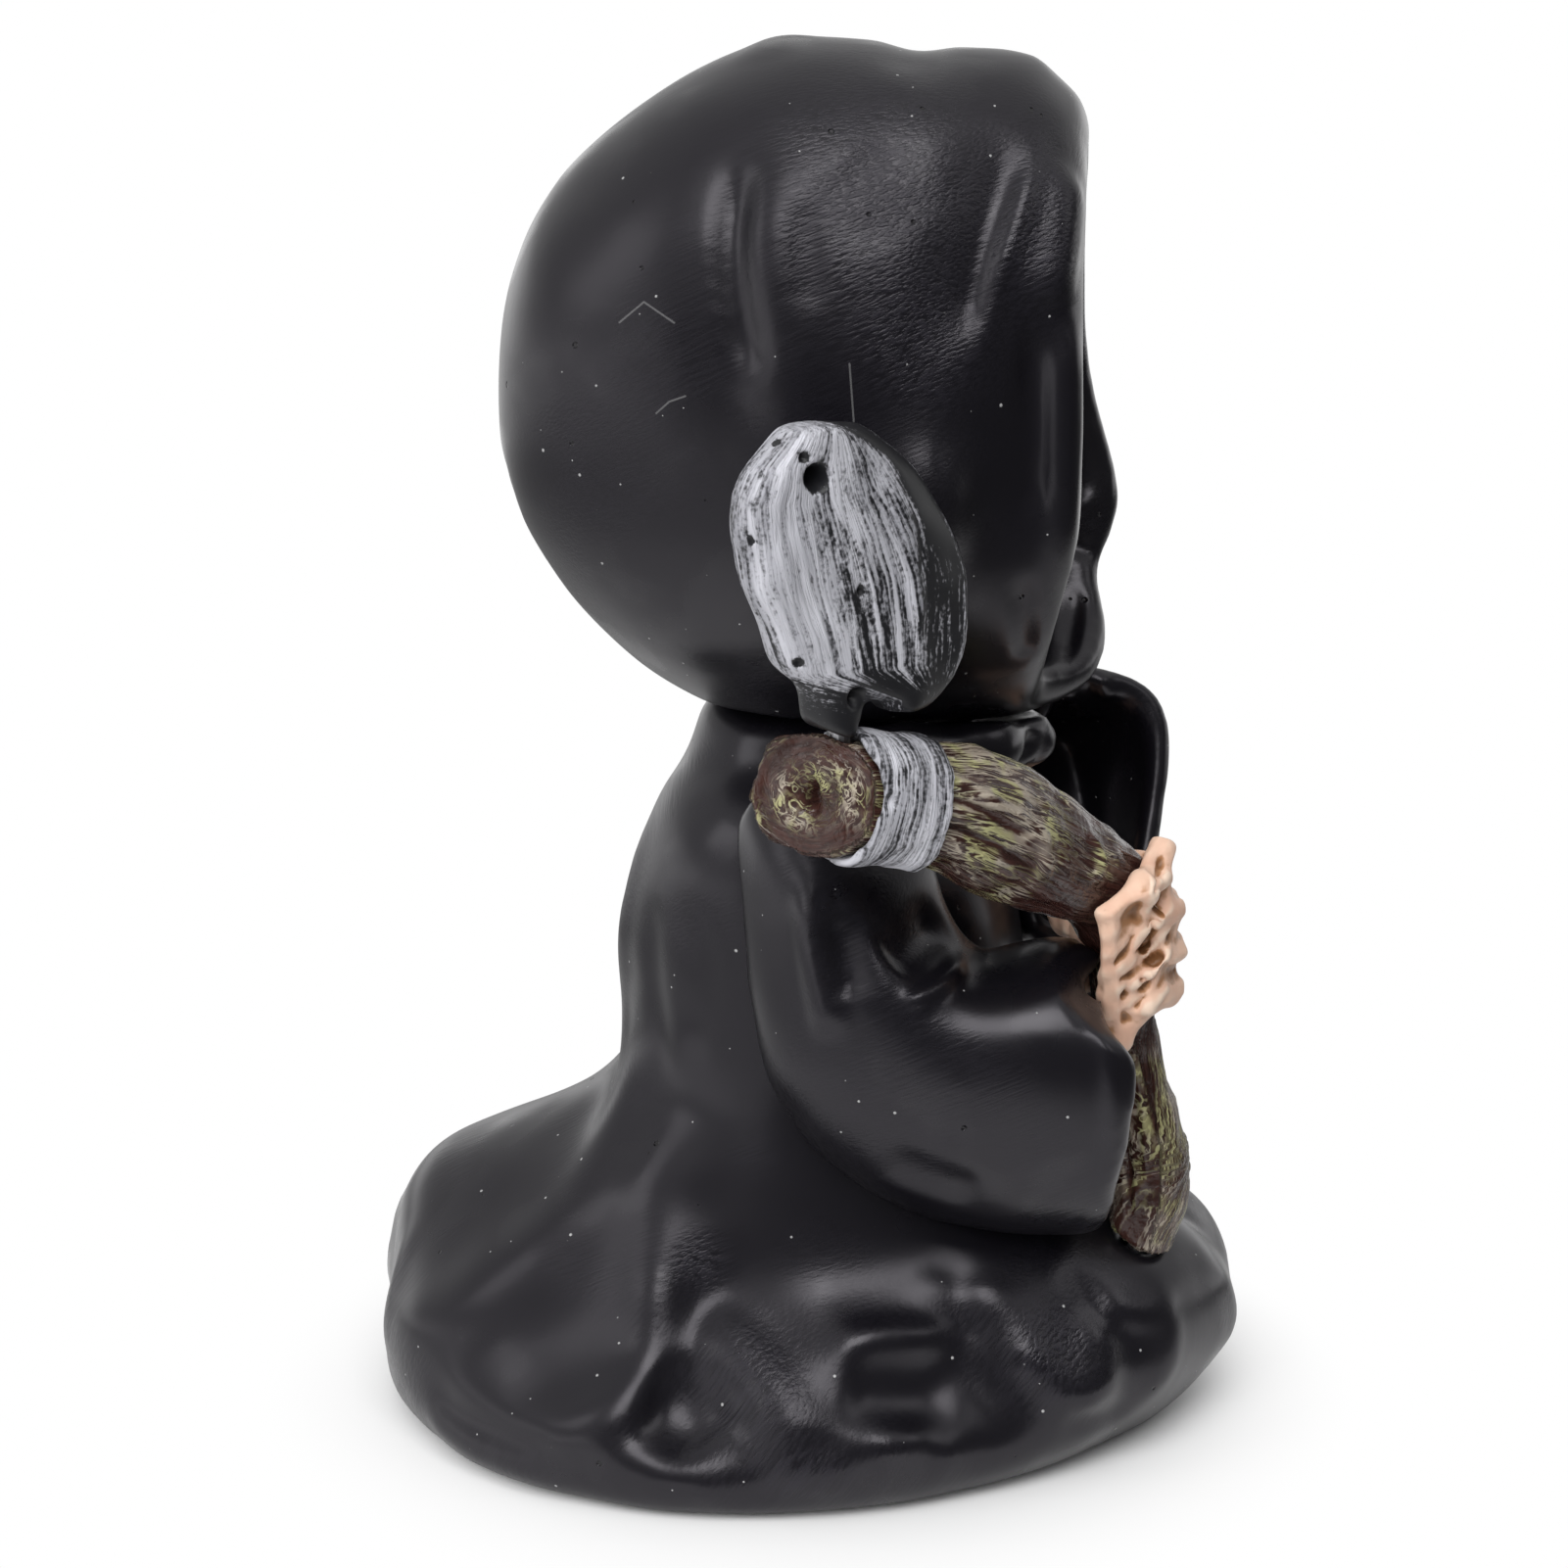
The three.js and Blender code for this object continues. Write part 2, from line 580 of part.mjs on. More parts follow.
// A finger through its knuckles, thick at one and thin at the next.
function finger(path, grow) {
  const rows = path.map((point, index) => {
    const swell = 1 + knuckleSwell * Math.cos(index * Math.PI);
    return [...point.toArray(), fingerRadius * swell];
  });
  return sweep(rows, { segments: fingerSides, rings: fingerSteps, grow });
}

function wristSolid({ from, to, radius }, grow) {
  const rows = [from, to].map((point) => [...point, radius]);
  const ends = [from, to].map((point) =>
    ellipsoid(vector(point), vector([radius, radius, radius]), {
      grow,
      across: wristSides,
      down: wristSides / 2,
    }),
  );
  return joined(sweep(rows, { segments: wristSides, rings: 2, grow }), ...ends);
}

function wristAt({ from, to }, share) {
  return vector(from).lerp(vector(to), share);
}

function rightHandShape(grow = 0) {
  const fingers = Array.from({ length: fingerCount }, (_, index) => {
    const [x, y, z, radius] = along(
      handleRows,
      THREE.MathUtils.lerp(rightGripFrom, rightGripTo, index / (fingerCount - 1)),
    );
    const round = radius + fingerRadius + glueGap;
    const bend = rightFingerBend.map((degrees) => {
      const turn = THREE.MathUtils.degToRad(degrees);
      return new THREE.Vector3(x + Math.cos(turn) * round, y + Math.sin(turn) * round, z);
    });
    return finger([vector(rightWrist.to), ...bend], grow);
  });
  const thumb = finger(rightThumb.map(vector), grow);
  const palm = ellipsoid(vector(rightPalm.centre), vector(rightPalm.half), { grow });
  return joined(palm, wristSolid(rightWrist, grow), thumb, ...fingers);
}

function leftHandShape(grow = 0) {
  const [palmX, palmY, palmZ] = leftPalm.centre;
  const spacing = (2 * leftPalm.half[2]) / fingerCount;
  const fingers = Array.from({ length: fingerCount }, (_, index) => {
    const z = palmZ + (index - (fingerCount - 1) / 2) * spacing;
    const path = leftFingerBend.map((degrees) => {
      const turn = THREE.MathUtils.degToRad(degrees);
      const x = palmX - Math.sin(turn) * leftFist.halfWide;
      const y = palmY - leftFist.forward + Math.cos(turn) * leftFist.halfDeep;
      return new THREE.Vector3(x, y, z);
    });
    return finger(path, grow);
  });
  const palm = ellipsoid(vector(leftPalm.centre), vector(leftPalm.half), { grow });
  return joined(palm, wristSolid(leftWrist, grow), ...fingers);
}

// Scythe

function handleShape(grow = 0) {
  return sweep(handleRows, {
    segments: handleSegments,
    rings: handleRings,
    squareness: handleSquareness,
    grow,
  });
}

// A block that lies beyond the sawn face of the knob.
function offcut() {
  const geometry = new THREE.BoxGeometry(offcutSize, offcutSize, offcutSize);
  geometry.translate(0, 0, offcutSize / 2);
  geometry.applyQuaternion(
    new THREE.Quaternion().setFromUnitVectors(new THREE.Vector3(0, 0, 1), sawnFacing),
  );
  geometry.translate(...sawnEnd);
  return solidOf(geometry);
}

function ferruleShape(grow = 0) {
  return sweep(handleRows, {
    segments: ferruleSegments,
    rings: ferruleRings,
    squareness: ferruleSquareness,
    grow: grow + ferruleWall + glueGap,
    from: ferruleFrom,
    to: ferruleTo,
  });
}

// A point by its place along the branch from the sawn end, its place outward and its height.
function bladePoint(forward, outward, up) {
  const [cosine, sine] = [Math.cos(bladeHeading), Math.sin(bladeHeading)];
  return new THREE.Vector3(
    sawnEnd.x + forward * cosine + outward * sine,
    sawnEnd.y + forward * sine - outward * cosine,
    sawnEnd.z + up,
  );
}

function bladeShape(grow = 0) {
  const ringAt = (place) => {
    const [up, back, ridge, edge] = along(bladeRows, place);
    const inner = Math.min(back + bladeBevel, (back + ridge) / 2);
    const outline = [
      [back - grow, bladeBack / 2],
      [inner, bladeThickness / 2],
      [(inner + ridge) / 2, bladeThickness / 2 + bladeCrown],
      [ridge, bladeThickness / 2],
      [edge + grow, bladeEdge / 2],
    ];
    return [
      ...outline.map(([forward, half]) => bladePoint(forward, half + grow, up)),
      ...outline.reverse().map(([forward, half]) => bladePoint(forward, -half - grow, up)),
    ];
  };
  const neckRing = (up) =>
    turns(bladeNeckSides).map((turn) => {
      const forward = bladeNeckAlong + (bladeNeckHalf + grow) * Math.cos(turn);
      return bladePoint(forward, (bladeNeckHalfThick + grow) * Math.sin(turn), up);
    });
  const body = skin(ringsAlong(bladeRows, bladeRings, ringAt));
  const neck = skin([neckRing(bladeNeckFrom), neckRing(bladeNeckTo)]);
  return joined(body, neck);
}

// Collar

function collarShape() {
  const rings = turns(collarSegments).map((turn) => {
    const swell = 1 + collarLobeSwell * Math.cos(collarLobes * turn);
    const out = new THREE.Vector3(Math.sin(turn), -Math.cos(turn), 0);
    return turns(collarSides).map((side) =>
      collarCentre
        .clone()
        .addScaledVector(out, collarRadius + collarRoll * swell * Math.cos(side))
        .setZ(collarCentre.z + collarRoll * swell * Math.sin(side)),
    );
  });
  const points = rings.flat();
  const triangles = [];
  for (let ring = 0; ring < collarSegments; ring++) {
    const nextRing = (ring + 1) % collarSegments;
    for (let side = 0; side < collarSides; side++) {
      const next = (side + 1) % collarSides;
      const [a, b] = [ring * collarSides + side, ring * collarSides + next];
      const [c, d] = [nextRing * collarSides + side, nextRing * collarSides + next];
      triangles.push([a, b, c], [b, d, c]);
    }
  }
  return solidFrom(points, triangles);
}

// Skull

function skullShape() {
  const face = skullCentre.y - skullHalf.y;
  const sockets = [-eyeOffset, eyeOffset].map((x) =>
    ellipsoid(new THREE.Vector3(x, face + eyeSink, skullCentre.z - eyeDrop), eyeHalf),
  );
  const nose = ellipsoid(new THREE.Vector3(0, face + noseSink, skullCentre.z - noseDrop), noseHalf);
  return cut(joined(ellipsoid(skullCentre, skullHalf), ellipsoid(jawCentre, jawHalf)), ...sockets, nose);
}

// Sleeves

function sleeveShape(rows, squareness, options) {
  return sweep(rows, { segments: sleeveSegments, rings: sleeveRings, squareness, ...options });
}

// The hollow of a sleeve, run out of its mouth.
function cuffHollow(rows, squareness) {
  const mouth = rows.length - 1;
  const hollow = sleeveShape(rows, squareness, {
    rings: cuffHollowRings,
    grow: -cuffWall,
    from: cuffHollowFrom,
  });
  const [halfWide, reachUp, reachDown, roll] = rows[mouth].slice(3);
  const opening = [halfWide - cuffWall, reachUp - cuffWall, reachDown - cuffWall, roll];
  const heading = headingAlong(rows, mouth);
  const outletRows = [-1, cuffOutlet].map((reach) => [
    ...vector(rows[mouth]).addScaledVector(heading, reach),
    ...opening,
  ]);
  return joined(hollow, sleeveShape(outletRows, squareness, { rings: 2 }));
}

// Pins

const hoodRim = hoodRows[hoodRows.length - 1];
const handleFoot = vector(handleRows[handleRows.length - 1]);
const handleAnkle = vector(handleRows[handleRows.length - 2]);
const pins = {
  neck_pin: {
    from: new THREE.Vector3(0, neckPinBack, robeHeight - neckPinDown),
    to: new THREE.Vector3(0, neckPinBack, robeHeight + neckPinUp),
    radius: neckPinRadius,
  },
  skull_pin: {
    from: skullCentre.clone().setY(hoodRim[0] + hoodHollowDepth + skullPinSeat),
    to: skullCentre.clone().setY(skullCentre.y + skullPinReach),
    radius: skullPinRadius,
  },
  right_shoulder_pin: {
    from: new THREE.Vector3(-6, 0, 38),
    to: vector(rightSleeveRows[2]).add(new THREE.Vector3(-3.7, 1.8, -1.5)),
    radius: shoulderPinRadius,
  },
  left_shoulder_pin: {
    from: new THREE.Vector3(6, 0, 40),
    to: vector(leftSleeveRows[2]).add(new THREE.Vector3(0.6, 2.4, 1.6)),
    radius: shoulderPinRadius,
  },
  right_wrist_pin: {
    from: wristAt(rightWrist, -0.8),
    to: wristAt(rightWrist, 0.58),
    radius: wristPinRadius,
  },
  left_wrist_pin: {
    from: vector(leftSleeveRows[3]).add(new THREE.Vector3(0.6, -3.0, 2.4)),
    to: wristAt(leftWrist, 0.39),
    radius: wristPinRadius,
  },
  blade_tang_pin: {
    from: bladePoint(tangAlong, 0, -tangDown),
    to: bladePoint(tangAlong, 0, tangUp),
    radius: tangPinRadius,
  },
  handle_foot_pin: {
    from: handleFoot.clone().lerp(handleAnkle, -1.1),
    to: handleAnkle,
    radius: footPinRadius,
  },
};

// Pieces, each cut to clear its neighbours

const robeGrown = robeShape(glueGap);
const hoodGrown = hoodShape(glueGap);
const handleGrown = handleShape(glueGap);
const ferruleGrown = ferruleShape(glueGap);
const bladeGrown = bladeShape(glueGap);
const rightHandGrown = rightHandShape(glueGap);
const leftHandGrown = leftHandShape(glueGap);
const rightSleeveGrown = sleeveShape(rightSleeveRows, rightSleeveSquareness, { grow: glueGap });
const leftSleeveGrown = sleeveShape(leftSleeveRows, leftSleeveSquareness, { grow: glueGap });

const padRecess = padOutline(-glueGap, -padRecessBelow, padThickness + glueGap);
const bladeBoss = ellipsoid(bladePoint(bossAlong, -bossInward, bossUp), bossHalf);

const robe = cut(
  robeShape(),
  padRecess,
  bore(pins.neck_pin),
  bore(pins.right_shoulder_pin),
  bore(pins.left_shoulder_pin),
  bore(pins.right_wrist_pin),
  bore(pins.handle_foot_pin),
);
const hood = cut(
  joined(hoodShape(), bladeBoss),
  bladeGrown,
  hoodHollow(),
  robeGrown,
  handleGrown,
  bore(pins.neck_pin),
  bore(pins.skull_pin),
);
const skull = cut(skullShape().intersect(hoodHollow(glueGap)), bore(pins.skull_pin));
const rightSleeve = cut(
  sleeveShape(rightSleeveRows, rightSleeveSquareness),
  cuffHollow(rightSleeveRows, rightSleeveSquareness),
  robeGrown,
  hoodGrown,
  handleGrown,
  rightHandGrown,
  bore(pins.right_shoulder_pin),
  bore(pins.right_wrist_pin),
);
const leftSleeve = cut(
  sleeveShape(leftSleeveRows, leftSleeveSquareness),
  cuffHollow(leftSleeveRows, leftSleeveSquareness),
  robeGrown,
  hoodGrown,
  handleGrown,
  leftHandGrown,
  bore(pins.left_shoulder_pin),
  bore(pins.left_wrist_pin),
);
const collar = cut(
  collarShape(),
  bore(pins.neck_pin),
  robeGrown,
  hoodGrown,
  handleGrown,
  rightSleeveGrown,
  leftSleeveGrown,
);
const handle = cut(
  handleShape(),
  offcut(),
  robeGrown,
  hoodGrown,
  bore(pins.blade_tang_pin),
  bore(pins.handle_foot_pin),
);
const ferrule = cut(ferruleShape(), handleGrown, offcut(), bore(pins.blade_tang_pin));
const blade = cut(bladeShape(), handleGrown, ferruleGrown, hoodGrown, bore(pins.blade_tang_pin));
const rightHand = cut(rightHandShape(), handleGrown, robeGrown, bore(pins.right_wrist_pin));
const leftHand = cut(leftHandShape(), handleGrown, robeGrown, rightHandGrown, bore(pins.left_wrist_pin));
const pad = padOutline(0, 0, padThickness);

// Colours

const finishes = {
  blackPaint: { color: 0x17171a, roughness: 0.42, metalness: 0 },
  bonePaint: { color: 0xd9b48c, roughness: 0.6, metalness: 0 },
  woodPaint: { color: 0x4a3228, roughness: 0.55, metalness: 0 },
  silverPaint: { color: 0xa9acb0, roughness: 0.5, metalness: 0.3 },
  felt: { color: 0x1b1b1b, roughness: 0.95, metalness: 0 },
  steel: { color: 0x9a9ca0, roughness: 0.35, metalness: 1 },
};

const figurine = new THREE.Group();

function place(name, solid, finish) {
  const { vertProperties, triVerts } = solid.getMesh();
  const geometry = new THREE.BufferGeometry();
  geometry.setAttribute('position', new THREE.BufferAttribute(vertProperties, 3));
  geometry.setIndex(new THREE.BufferAttribute(triVerts, 1));
  geometry.computeVertexNormals();
  const mesh = new THREE.Mesh(geometry, new THREE.MeshStandardMaterial(finishes[finish]));
  mesh.name = name;
  figurine.add(mesh);
}

place('robe_body', robe, 'blackPaint');
place('hood', hood, 'blackPaint');
place('skull', skull, 'bonePaint');
place('cowl_collar', collar, 'blackPaint');
place('right_sleeve', rightSleeve, 'blackPaint');
place('left_sleeve', leftSleeve, 'blackPaint');
place('right_hand', rightHand, 'bonePaint');
place('left_hand', leftHand, 'bonePaint');
place('scythe_handle', handle, 'woodPaint');
place('blade_ferrule', ferrule, 'silverPaint');
place('scythe_blade', blade, 'silverPaint');
place('base_pad', pad, 'felt');
Object.entries(pins).forEach(([name, pin]) => place(name, pinSolid(pin), 'steel'));

export default figurine;
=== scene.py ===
"""The painted looks of a small resin reaper: sculpted castings, brushed paint and a plain stage."""

import math

import bpy
import numpy as np
from bpy.props import FloatProperty, FloatVectorProperty, PointerProperty
from bpy.types import Operator, Panel, PropertyGroup
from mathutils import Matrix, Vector, noise
from mathutils.bvhtree import BVHTree


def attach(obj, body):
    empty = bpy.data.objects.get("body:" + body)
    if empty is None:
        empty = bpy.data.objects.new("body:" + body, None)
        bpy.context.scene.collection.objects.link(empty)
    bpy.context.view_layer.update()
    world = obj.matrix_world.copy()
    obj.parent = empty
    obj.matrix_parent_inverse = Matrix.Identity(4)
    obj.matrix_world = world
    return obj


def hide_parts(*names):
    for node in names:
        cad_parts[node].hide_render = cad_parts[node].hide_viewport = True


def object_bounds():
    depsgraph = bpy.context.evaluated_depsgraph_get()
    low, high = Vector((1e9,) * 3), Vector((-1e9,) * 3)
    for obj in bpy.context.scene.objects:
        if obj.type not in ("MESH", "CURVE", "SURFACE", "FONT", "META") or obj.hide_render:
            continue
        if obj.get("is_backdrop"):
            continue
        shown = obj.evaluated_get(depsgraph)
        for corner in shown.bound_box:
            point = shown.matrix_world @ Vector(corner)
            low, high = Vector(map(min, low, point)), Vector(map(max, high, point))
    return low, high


bl_info = {
    "name": "Resin Reaper",
    "version": (1, 0, 0),
    "blender": (4, 5, 0),
    "location": "3D View > Sidebar > Reaper",
    "description": "Sculpts and paints a small resin reaper on its packed solids",
    "category": "Object",
}

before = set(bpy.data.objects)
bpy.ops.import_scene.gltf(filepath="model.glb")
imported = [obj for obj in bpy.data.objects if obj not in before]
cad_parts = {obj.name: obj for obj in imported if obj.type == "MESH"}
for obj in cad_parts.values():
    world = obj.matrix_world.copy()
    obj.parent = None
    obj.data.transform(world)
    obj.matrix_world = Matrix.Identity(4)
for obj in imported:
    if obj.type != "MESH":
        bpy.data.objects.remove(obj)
SOLIDS_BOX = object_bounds()
MM = 0.001


# Sculpting

DAB_REACH = 0.02  # how far a dab is drawn, so that it has a direction

# How a line drawn on one view of the figure reaches its surface: the axis it travels along, where
# it starts on that axis, which way it goes, and the two coordinates that the line is drawn in.
VIEWS = {
    "right": (0, -60, 1, (1, 2)),
    "left": (0, 60, -1, (1, 2)),
    "front": (1, -60, 1, (0, 2)),
    "back": (1, 60, -1, (0, 2)),
    "above": (2, 130, -1, (0, 1)),
    "inside left": (0, 0, 1, (1, 2)),
}


def only(piece):
    """Leaves one object selected and active, in object mode."""
    if bpy.context.object and bpy.context.object.mode != "OBJECT":
        bpy.ops.object.mode_set(mode="OBJECT")
    bpy.ops.object.select_all(action="DESELECT")
    piece.select_set(True)
    bpy.context.view_layer.objects.active = piece


def skin_over(piece, grain):
    """Gives a piece an even skin of small faces."""
    skin = piece.modifiers.new("Skin", "REMESH")
    skin.mode = "VOXEL"
    skin.voxel_size = grain * MM
    bpy.ops.object.modifier_apply(modifier=skin.name)


def swell(piece, distance):
    """Moves the whole surface out, or in where the distance is negative."""
    grow = piece.modifiers.new("Swell", "DISPLACE")
    grow.strength, grow.mid_level = distance * MM, 0.0
    bpy.ops.object.modifier_apply(modifier=grow.name)


def casting(node, name, slot, grain, web=0.0):
    """A copy of a solid under a skin ready to be sculpted. A web fills gaps up to twice its size."""
    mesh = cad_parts[node].data.copy()
    mesh.name = name
    mesh.materials.clear()
    piece = bpy.data.objects.new(name, mesh)
    bpy.context.collection.objects.link(piece)
    only(piece)
    bpy.ops.object.mode_set(mode="EDIT")
    bpy.ops.mesh.select_all(action="SELECT")
    bpy.ops.mesh.remove_doubles(threshold=1e-6)
    bpy.ops.object.mode_set(mode="OBJECT")
    skin_over(piece, grain)
    if web:
        swell(piece, web)
        skin_over(piece, grain)
        swell(piece, -web)
    bpy.ops.object.shade_smooth()
    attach(piece, "root")
    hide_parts(node)
    coat(piece, SLOT_PAINTS[slot])
    return piece


def smooth_line(points, steps=8):
    """A curve through given points, as many short steps."""
    points = np.array(points, float)
    ends = np.vstack([2 * points[0] - points[1], points, 2 * points[-1] - points[-2]])
    line = []
    for index in range(1, len(ends) - 2):
        a, b, c, d = ends[index - 1 : index + 3]
        for t in np.arange(steps) / steps:
            bend, twist = 2 * a - 5 * b + 4 * c - d, 3 * b - a - 3 * c + d
            line.append(0.5 * (2 * b + (c - a) * t + bend * t**2 + twist * t**3))
    return np.array(line + [points[-1]])


class Clay:
    """The points of a casting, in millimetres, and the ways a sculptor pushes them."""

    def __init__(self, piece):
        self.piece = piece
        mesh = piece.data
        self.points = self.read(mesh.vertices, "co", 3) * 1000
        self.edges = self.read(mesh.edges, "vertices", 2, int)
        mesh.calc_loop_triangles()
        self.faces = self.read(mesh.loop_triangles, "vertices", 3, int)

    @staticmethod
    def read(items, name, width, kind=float):
        values = np.empty(len(items) * width, kind)
        items.foreach_get(name, values)
        return values.reshape(-1, width)

    def gather(self, indices, values):
        """Sums rows of values at the points that the indices name."""
        count = len(self.points)
        return np.stack([np.bincount(indices, values[:, k], count) for k in range(values.shape[1])], 1)

    def share_out(self, weight):
        """Sums what each edge weighs at both of its ends."""
        return sum(np.bincount(ends, weight, len(self.points)) for ends in self.edges.T)

    def normals(self):
        a, b, c = (self.points[self.faces[:, k]] for k in range(3))
        across = np.cross(b - a, c - a)
        total = sum(self.gather(self.faces[:, k], across) for k in range(3))
        return total / np.maximum(np.linalg.norm(total, axis=1, keepdims=True), 1e-12)

    def near(self, middle, reach):
        """A share at each point, from 1 at a place to 0 at its reach."""
        away = np.linalg.norm(self.points - np.array(middle), axis=1) / reach
        return np.clip(1 - away**2, 0, 1) ** 2

    def relax(self, rounds, keep_edges=0.0, where=None):
        """Evens out the surface. Keeping edges leaves corners sharper than the given softness."""
        start, end = self.edges.T
        for turn in range(rounds):
            if turn % 4 == 0:
                weight = np.ones(len(start))
                if keep_edges:
                    normals = self.normals()
                    bend = 1 - (normals[start] * normals[end]).sum(1)
                    weight = np.exp(-bend / keep_edges) + 0.02
                total = self.share_out(weight)
            step = (self.points[end] - self.points[start]) * weight[:, None]
            move = (self.gather(start, step) - self.gather(end, step)) / np.maximum(total, 1e-9)[:, None]
            self.points += move * (0.5 if where is None else 0.5 * where[:, None])

    def carry(self, view, path):
        """Brings points drawn on a view of the figure onto the surface."""
        axis, begin, way, (first, second) = VIEWS[view]
        tree = BVHTree.FromPolygons(self.points.tolist(), self.faces.tolist())
        direction = Vector((0, 0, 0))
        direction[axis] = way
        hits = []
        for a, b in path:
            origin = Vector((0, 0, 0))
            origin[axis], origin[first], origin[second] = begin, a, b
            place, normal, _, _ = tree.ray_cast(origin, direction)
            if place is not None:
                hits.append((*place, *normal))
        return np.array(hits).reshape(-1, 6)

    def stroke(self, view, path, width, height, fade=0.25):
        """Pulls up a ridge along a drawn line, or presses in a crease where the height is negative."""
        line = self.carry(view, smooth_line(path))
        if len(line) < 2:
            raise RuntimeError(f"A stroke on {self.piece.name} misses it: {view} {path[0]}")
        centres, facing = line[:, :3], line[:, 3:]
        low, high = centres.min(0) - width, centres.max(0) + width
        near = np.nonzero(((self.points > low) & (self.points < high)).all(1))[0]
        begin, span = centres[:-1], np.diff(centres, axis=0)
        span_square = np.maximum((span**2).sum(1), 1e-12)
        offset = self.points[near][:, None] - begin
        along = np.clip((offset * span).sum(2) / span_square, 0, 1)
        square = ((offset - along[..., None] * span) ** 2).sum(2)
        nearest = square.argmin(1)
        rows = np.arange(len(near))
        away = np.sqrt(square[rows, nearest]) / width
        place = (nearest + along[rows, nearest]) / len(span)
        profile = np.clip(1 - away**2, 0, 1) ** 2
        ends = np.clip(np.minimum(place, 1 - place) / fade, 0, 1) if fade else 1
        ends = ends * ends * (3 - 2 * ends)
        normals = self.normals()[near]
        same_side = np.clip((normals * facing[nearest]).sum(1) * 2, 0, 1)
        self.points[near] += normals * (height * profile * ends * same_side)[:, None]

    def dab(self, view, at, radius, height):
        """Raises a lump at a drawn point, or presses in a pit."""
        a, b = at
        self.stroke(view, [(a - DAB_REACH, b), (a + DAB_REACH, b)], radius, height, fade=0)

    def ripple(self, size, height, seed):
        """The slight unevenness of a hand-made master."""
        shift = Vector((seed * 7.3, seed * 3.1, seed * 5.7))
        wave = np.array([noise.noise(Vector(point) / size + shift) for point in self.points.tolist()])
        self.points += self.normals() * (wave * height)[:, None]

    def mark(self, name, values):
        """Keeps one number at each point for the paint to read."""
        mark = self.piece.data.attributes.new(name, "FLOAT", "POINT")
        mark.data.foreach_set("value", np.asarray(values, float))

    def lay(self, name, vectors):
        """Keeps a place at each point for a pattern that follows the surface."""
        kept = self.piece.data.attributes.new(name, "FLOAT_VECTOR", "POINT")
        kept.data.foreach_set("vector", np.asarray(vectors, float).ravel())

    def recess(self, rounds, deep):
        """Marks hollows as 1 and ridges as 0, for washes and dry brushing."""
        start, end = self.edges.T
        count = np.maximum(self.share_out(np.ones(len(start))), 1)
        smooth = self.points.copy()
        for _ in range(rounds):
            step = smooth[end] - smooth[start]
            smooth += (self.gather(start, step) - self.gather(end, step)) / count[:, None] * 0.6
        depth = ((smooth - self.points) * self.normals()).sum(1)
        self.mark("recess", np.clip(0.5 + 0.5 * depth / deep, 0, 1))

    def finish(self):
        mesh = self.piece.data
        mesh.vertices.foreach_set("co", (self.points * MM).ravel())
        mesh.update()


# Node helpers


def feed(tree, socket, value):
    """Gives an input a number or colour, or links an output to it."""
    if isinstance(value, bpy.types.NodeSocket):
        tree.links.new(value, socket)
    else:
        socket.default_value = value


def put(tree, kind, inputs=None, **settings):
    """Adds a node with its settings and its inputs, and returns it."""
    item = tree.nodes.new(kind)
    for name, value in settings.items():
        setattr(item, name, value)
    for name, value in (inputs or {}).items():
        feed(tree, item.inputs[name], value)
    return item


def maths(tree, operation, first, second=0.0, clamp=False):
    return put(tree, "ShaderNodeMath", {0: first, 1: second}, operation=operation, use_clamp=clamp).outputs[0]


def times(tree, first, second):
    return maths(tree, "MULTIPLY", first, second)


def plus(tree, first, second):
    return maths(tree, "ADD", first, second)


def minus(tree, first, second):
    return maths(tree, "SUBTRACT", first, second)


def rescale(tree, value, low, high, to_low=0.0, to_high=1.0):
    """Eases a value from one range to another."""
    limits = {"Value": value, "From Min": low, "From Max": high, "To Min": to_low, "To Max": to_high}
    return put(tree, "ShaderNodeMapRange", limits, interpolation_type="SMOOTHSTEP").outputs["Result"]


def tint(tree, share, below, above):
    """Mixes two colours by a share."""
    mix = put(tree, "ShaderNodeMix", data_type="RGBA")
    feed(tree, mix.inputs[0], share)
    feed(tree, mix.inputs[6], below)
    feed(tree, mix.inputs[7], above)
    return mix.outputs[2]


def noise_at(tree, coordinates, scale, detail=2.0, distortion=0.0):
    inputs = {"Vector": coordinates, "Scale": scale, "Detail": detail, "Distortion": distortion}
    return put(tree, "ShaderNodeTexNoise", inputs).outputs["Fac"]


def group(name, inputs, outputs):
    """An empty node group with its sockets, its input node and its output node."""
    tree = bpy.data.node_groups.new(name, "ShaderNodeTree")
    for label, (kind, default) in inputs.items():
        socket = tree.interface.new_socket(label, in_out="INPUT", socket_type=f"NodeSocket{kind}")
        socket.default_value = default
    for label in outputs:
        tree.interface.new_socket(label, in_out="OUTPUT", socket_type="NodeSocketFloat")
    return tree, tree.nodes.new("NodeGroupInput").outputs, tree.nodes.new("NodeGroupOutput").inputs


def placed(tree, name, **inputs):
    """Places a node group in a material. Inputs are named with underscores for spaces."""
    item = tree.nodes.new("ShaderNodeGroup")
    item.node_tree = bpy.data.node_groups[name]
    for label, value in inputs.items():
        feed(tree, item.inputs[label.replace("_", " ")], value)
    return item.outputs[0]


def facing_share(tree, vector, direction):
    """How far a vector reaches along a direction."""
    both = {0: vector, 1: direction}
    return put(tree, "ShaderNodeVectorMath", both, operation="DOT_PRODUCT").outputs["Value"]


def object_place(tree):
    return tree.nodes.new("ShaderNodeTexCoord").outputs["Object"]


def kept_at(tree, name):
    """The number that a piece keeps under a name at each of its points."""
    return put(tree, "ShaderNodeAttribute", attribute_name=name).outputs["Fac"]


# Shared effects


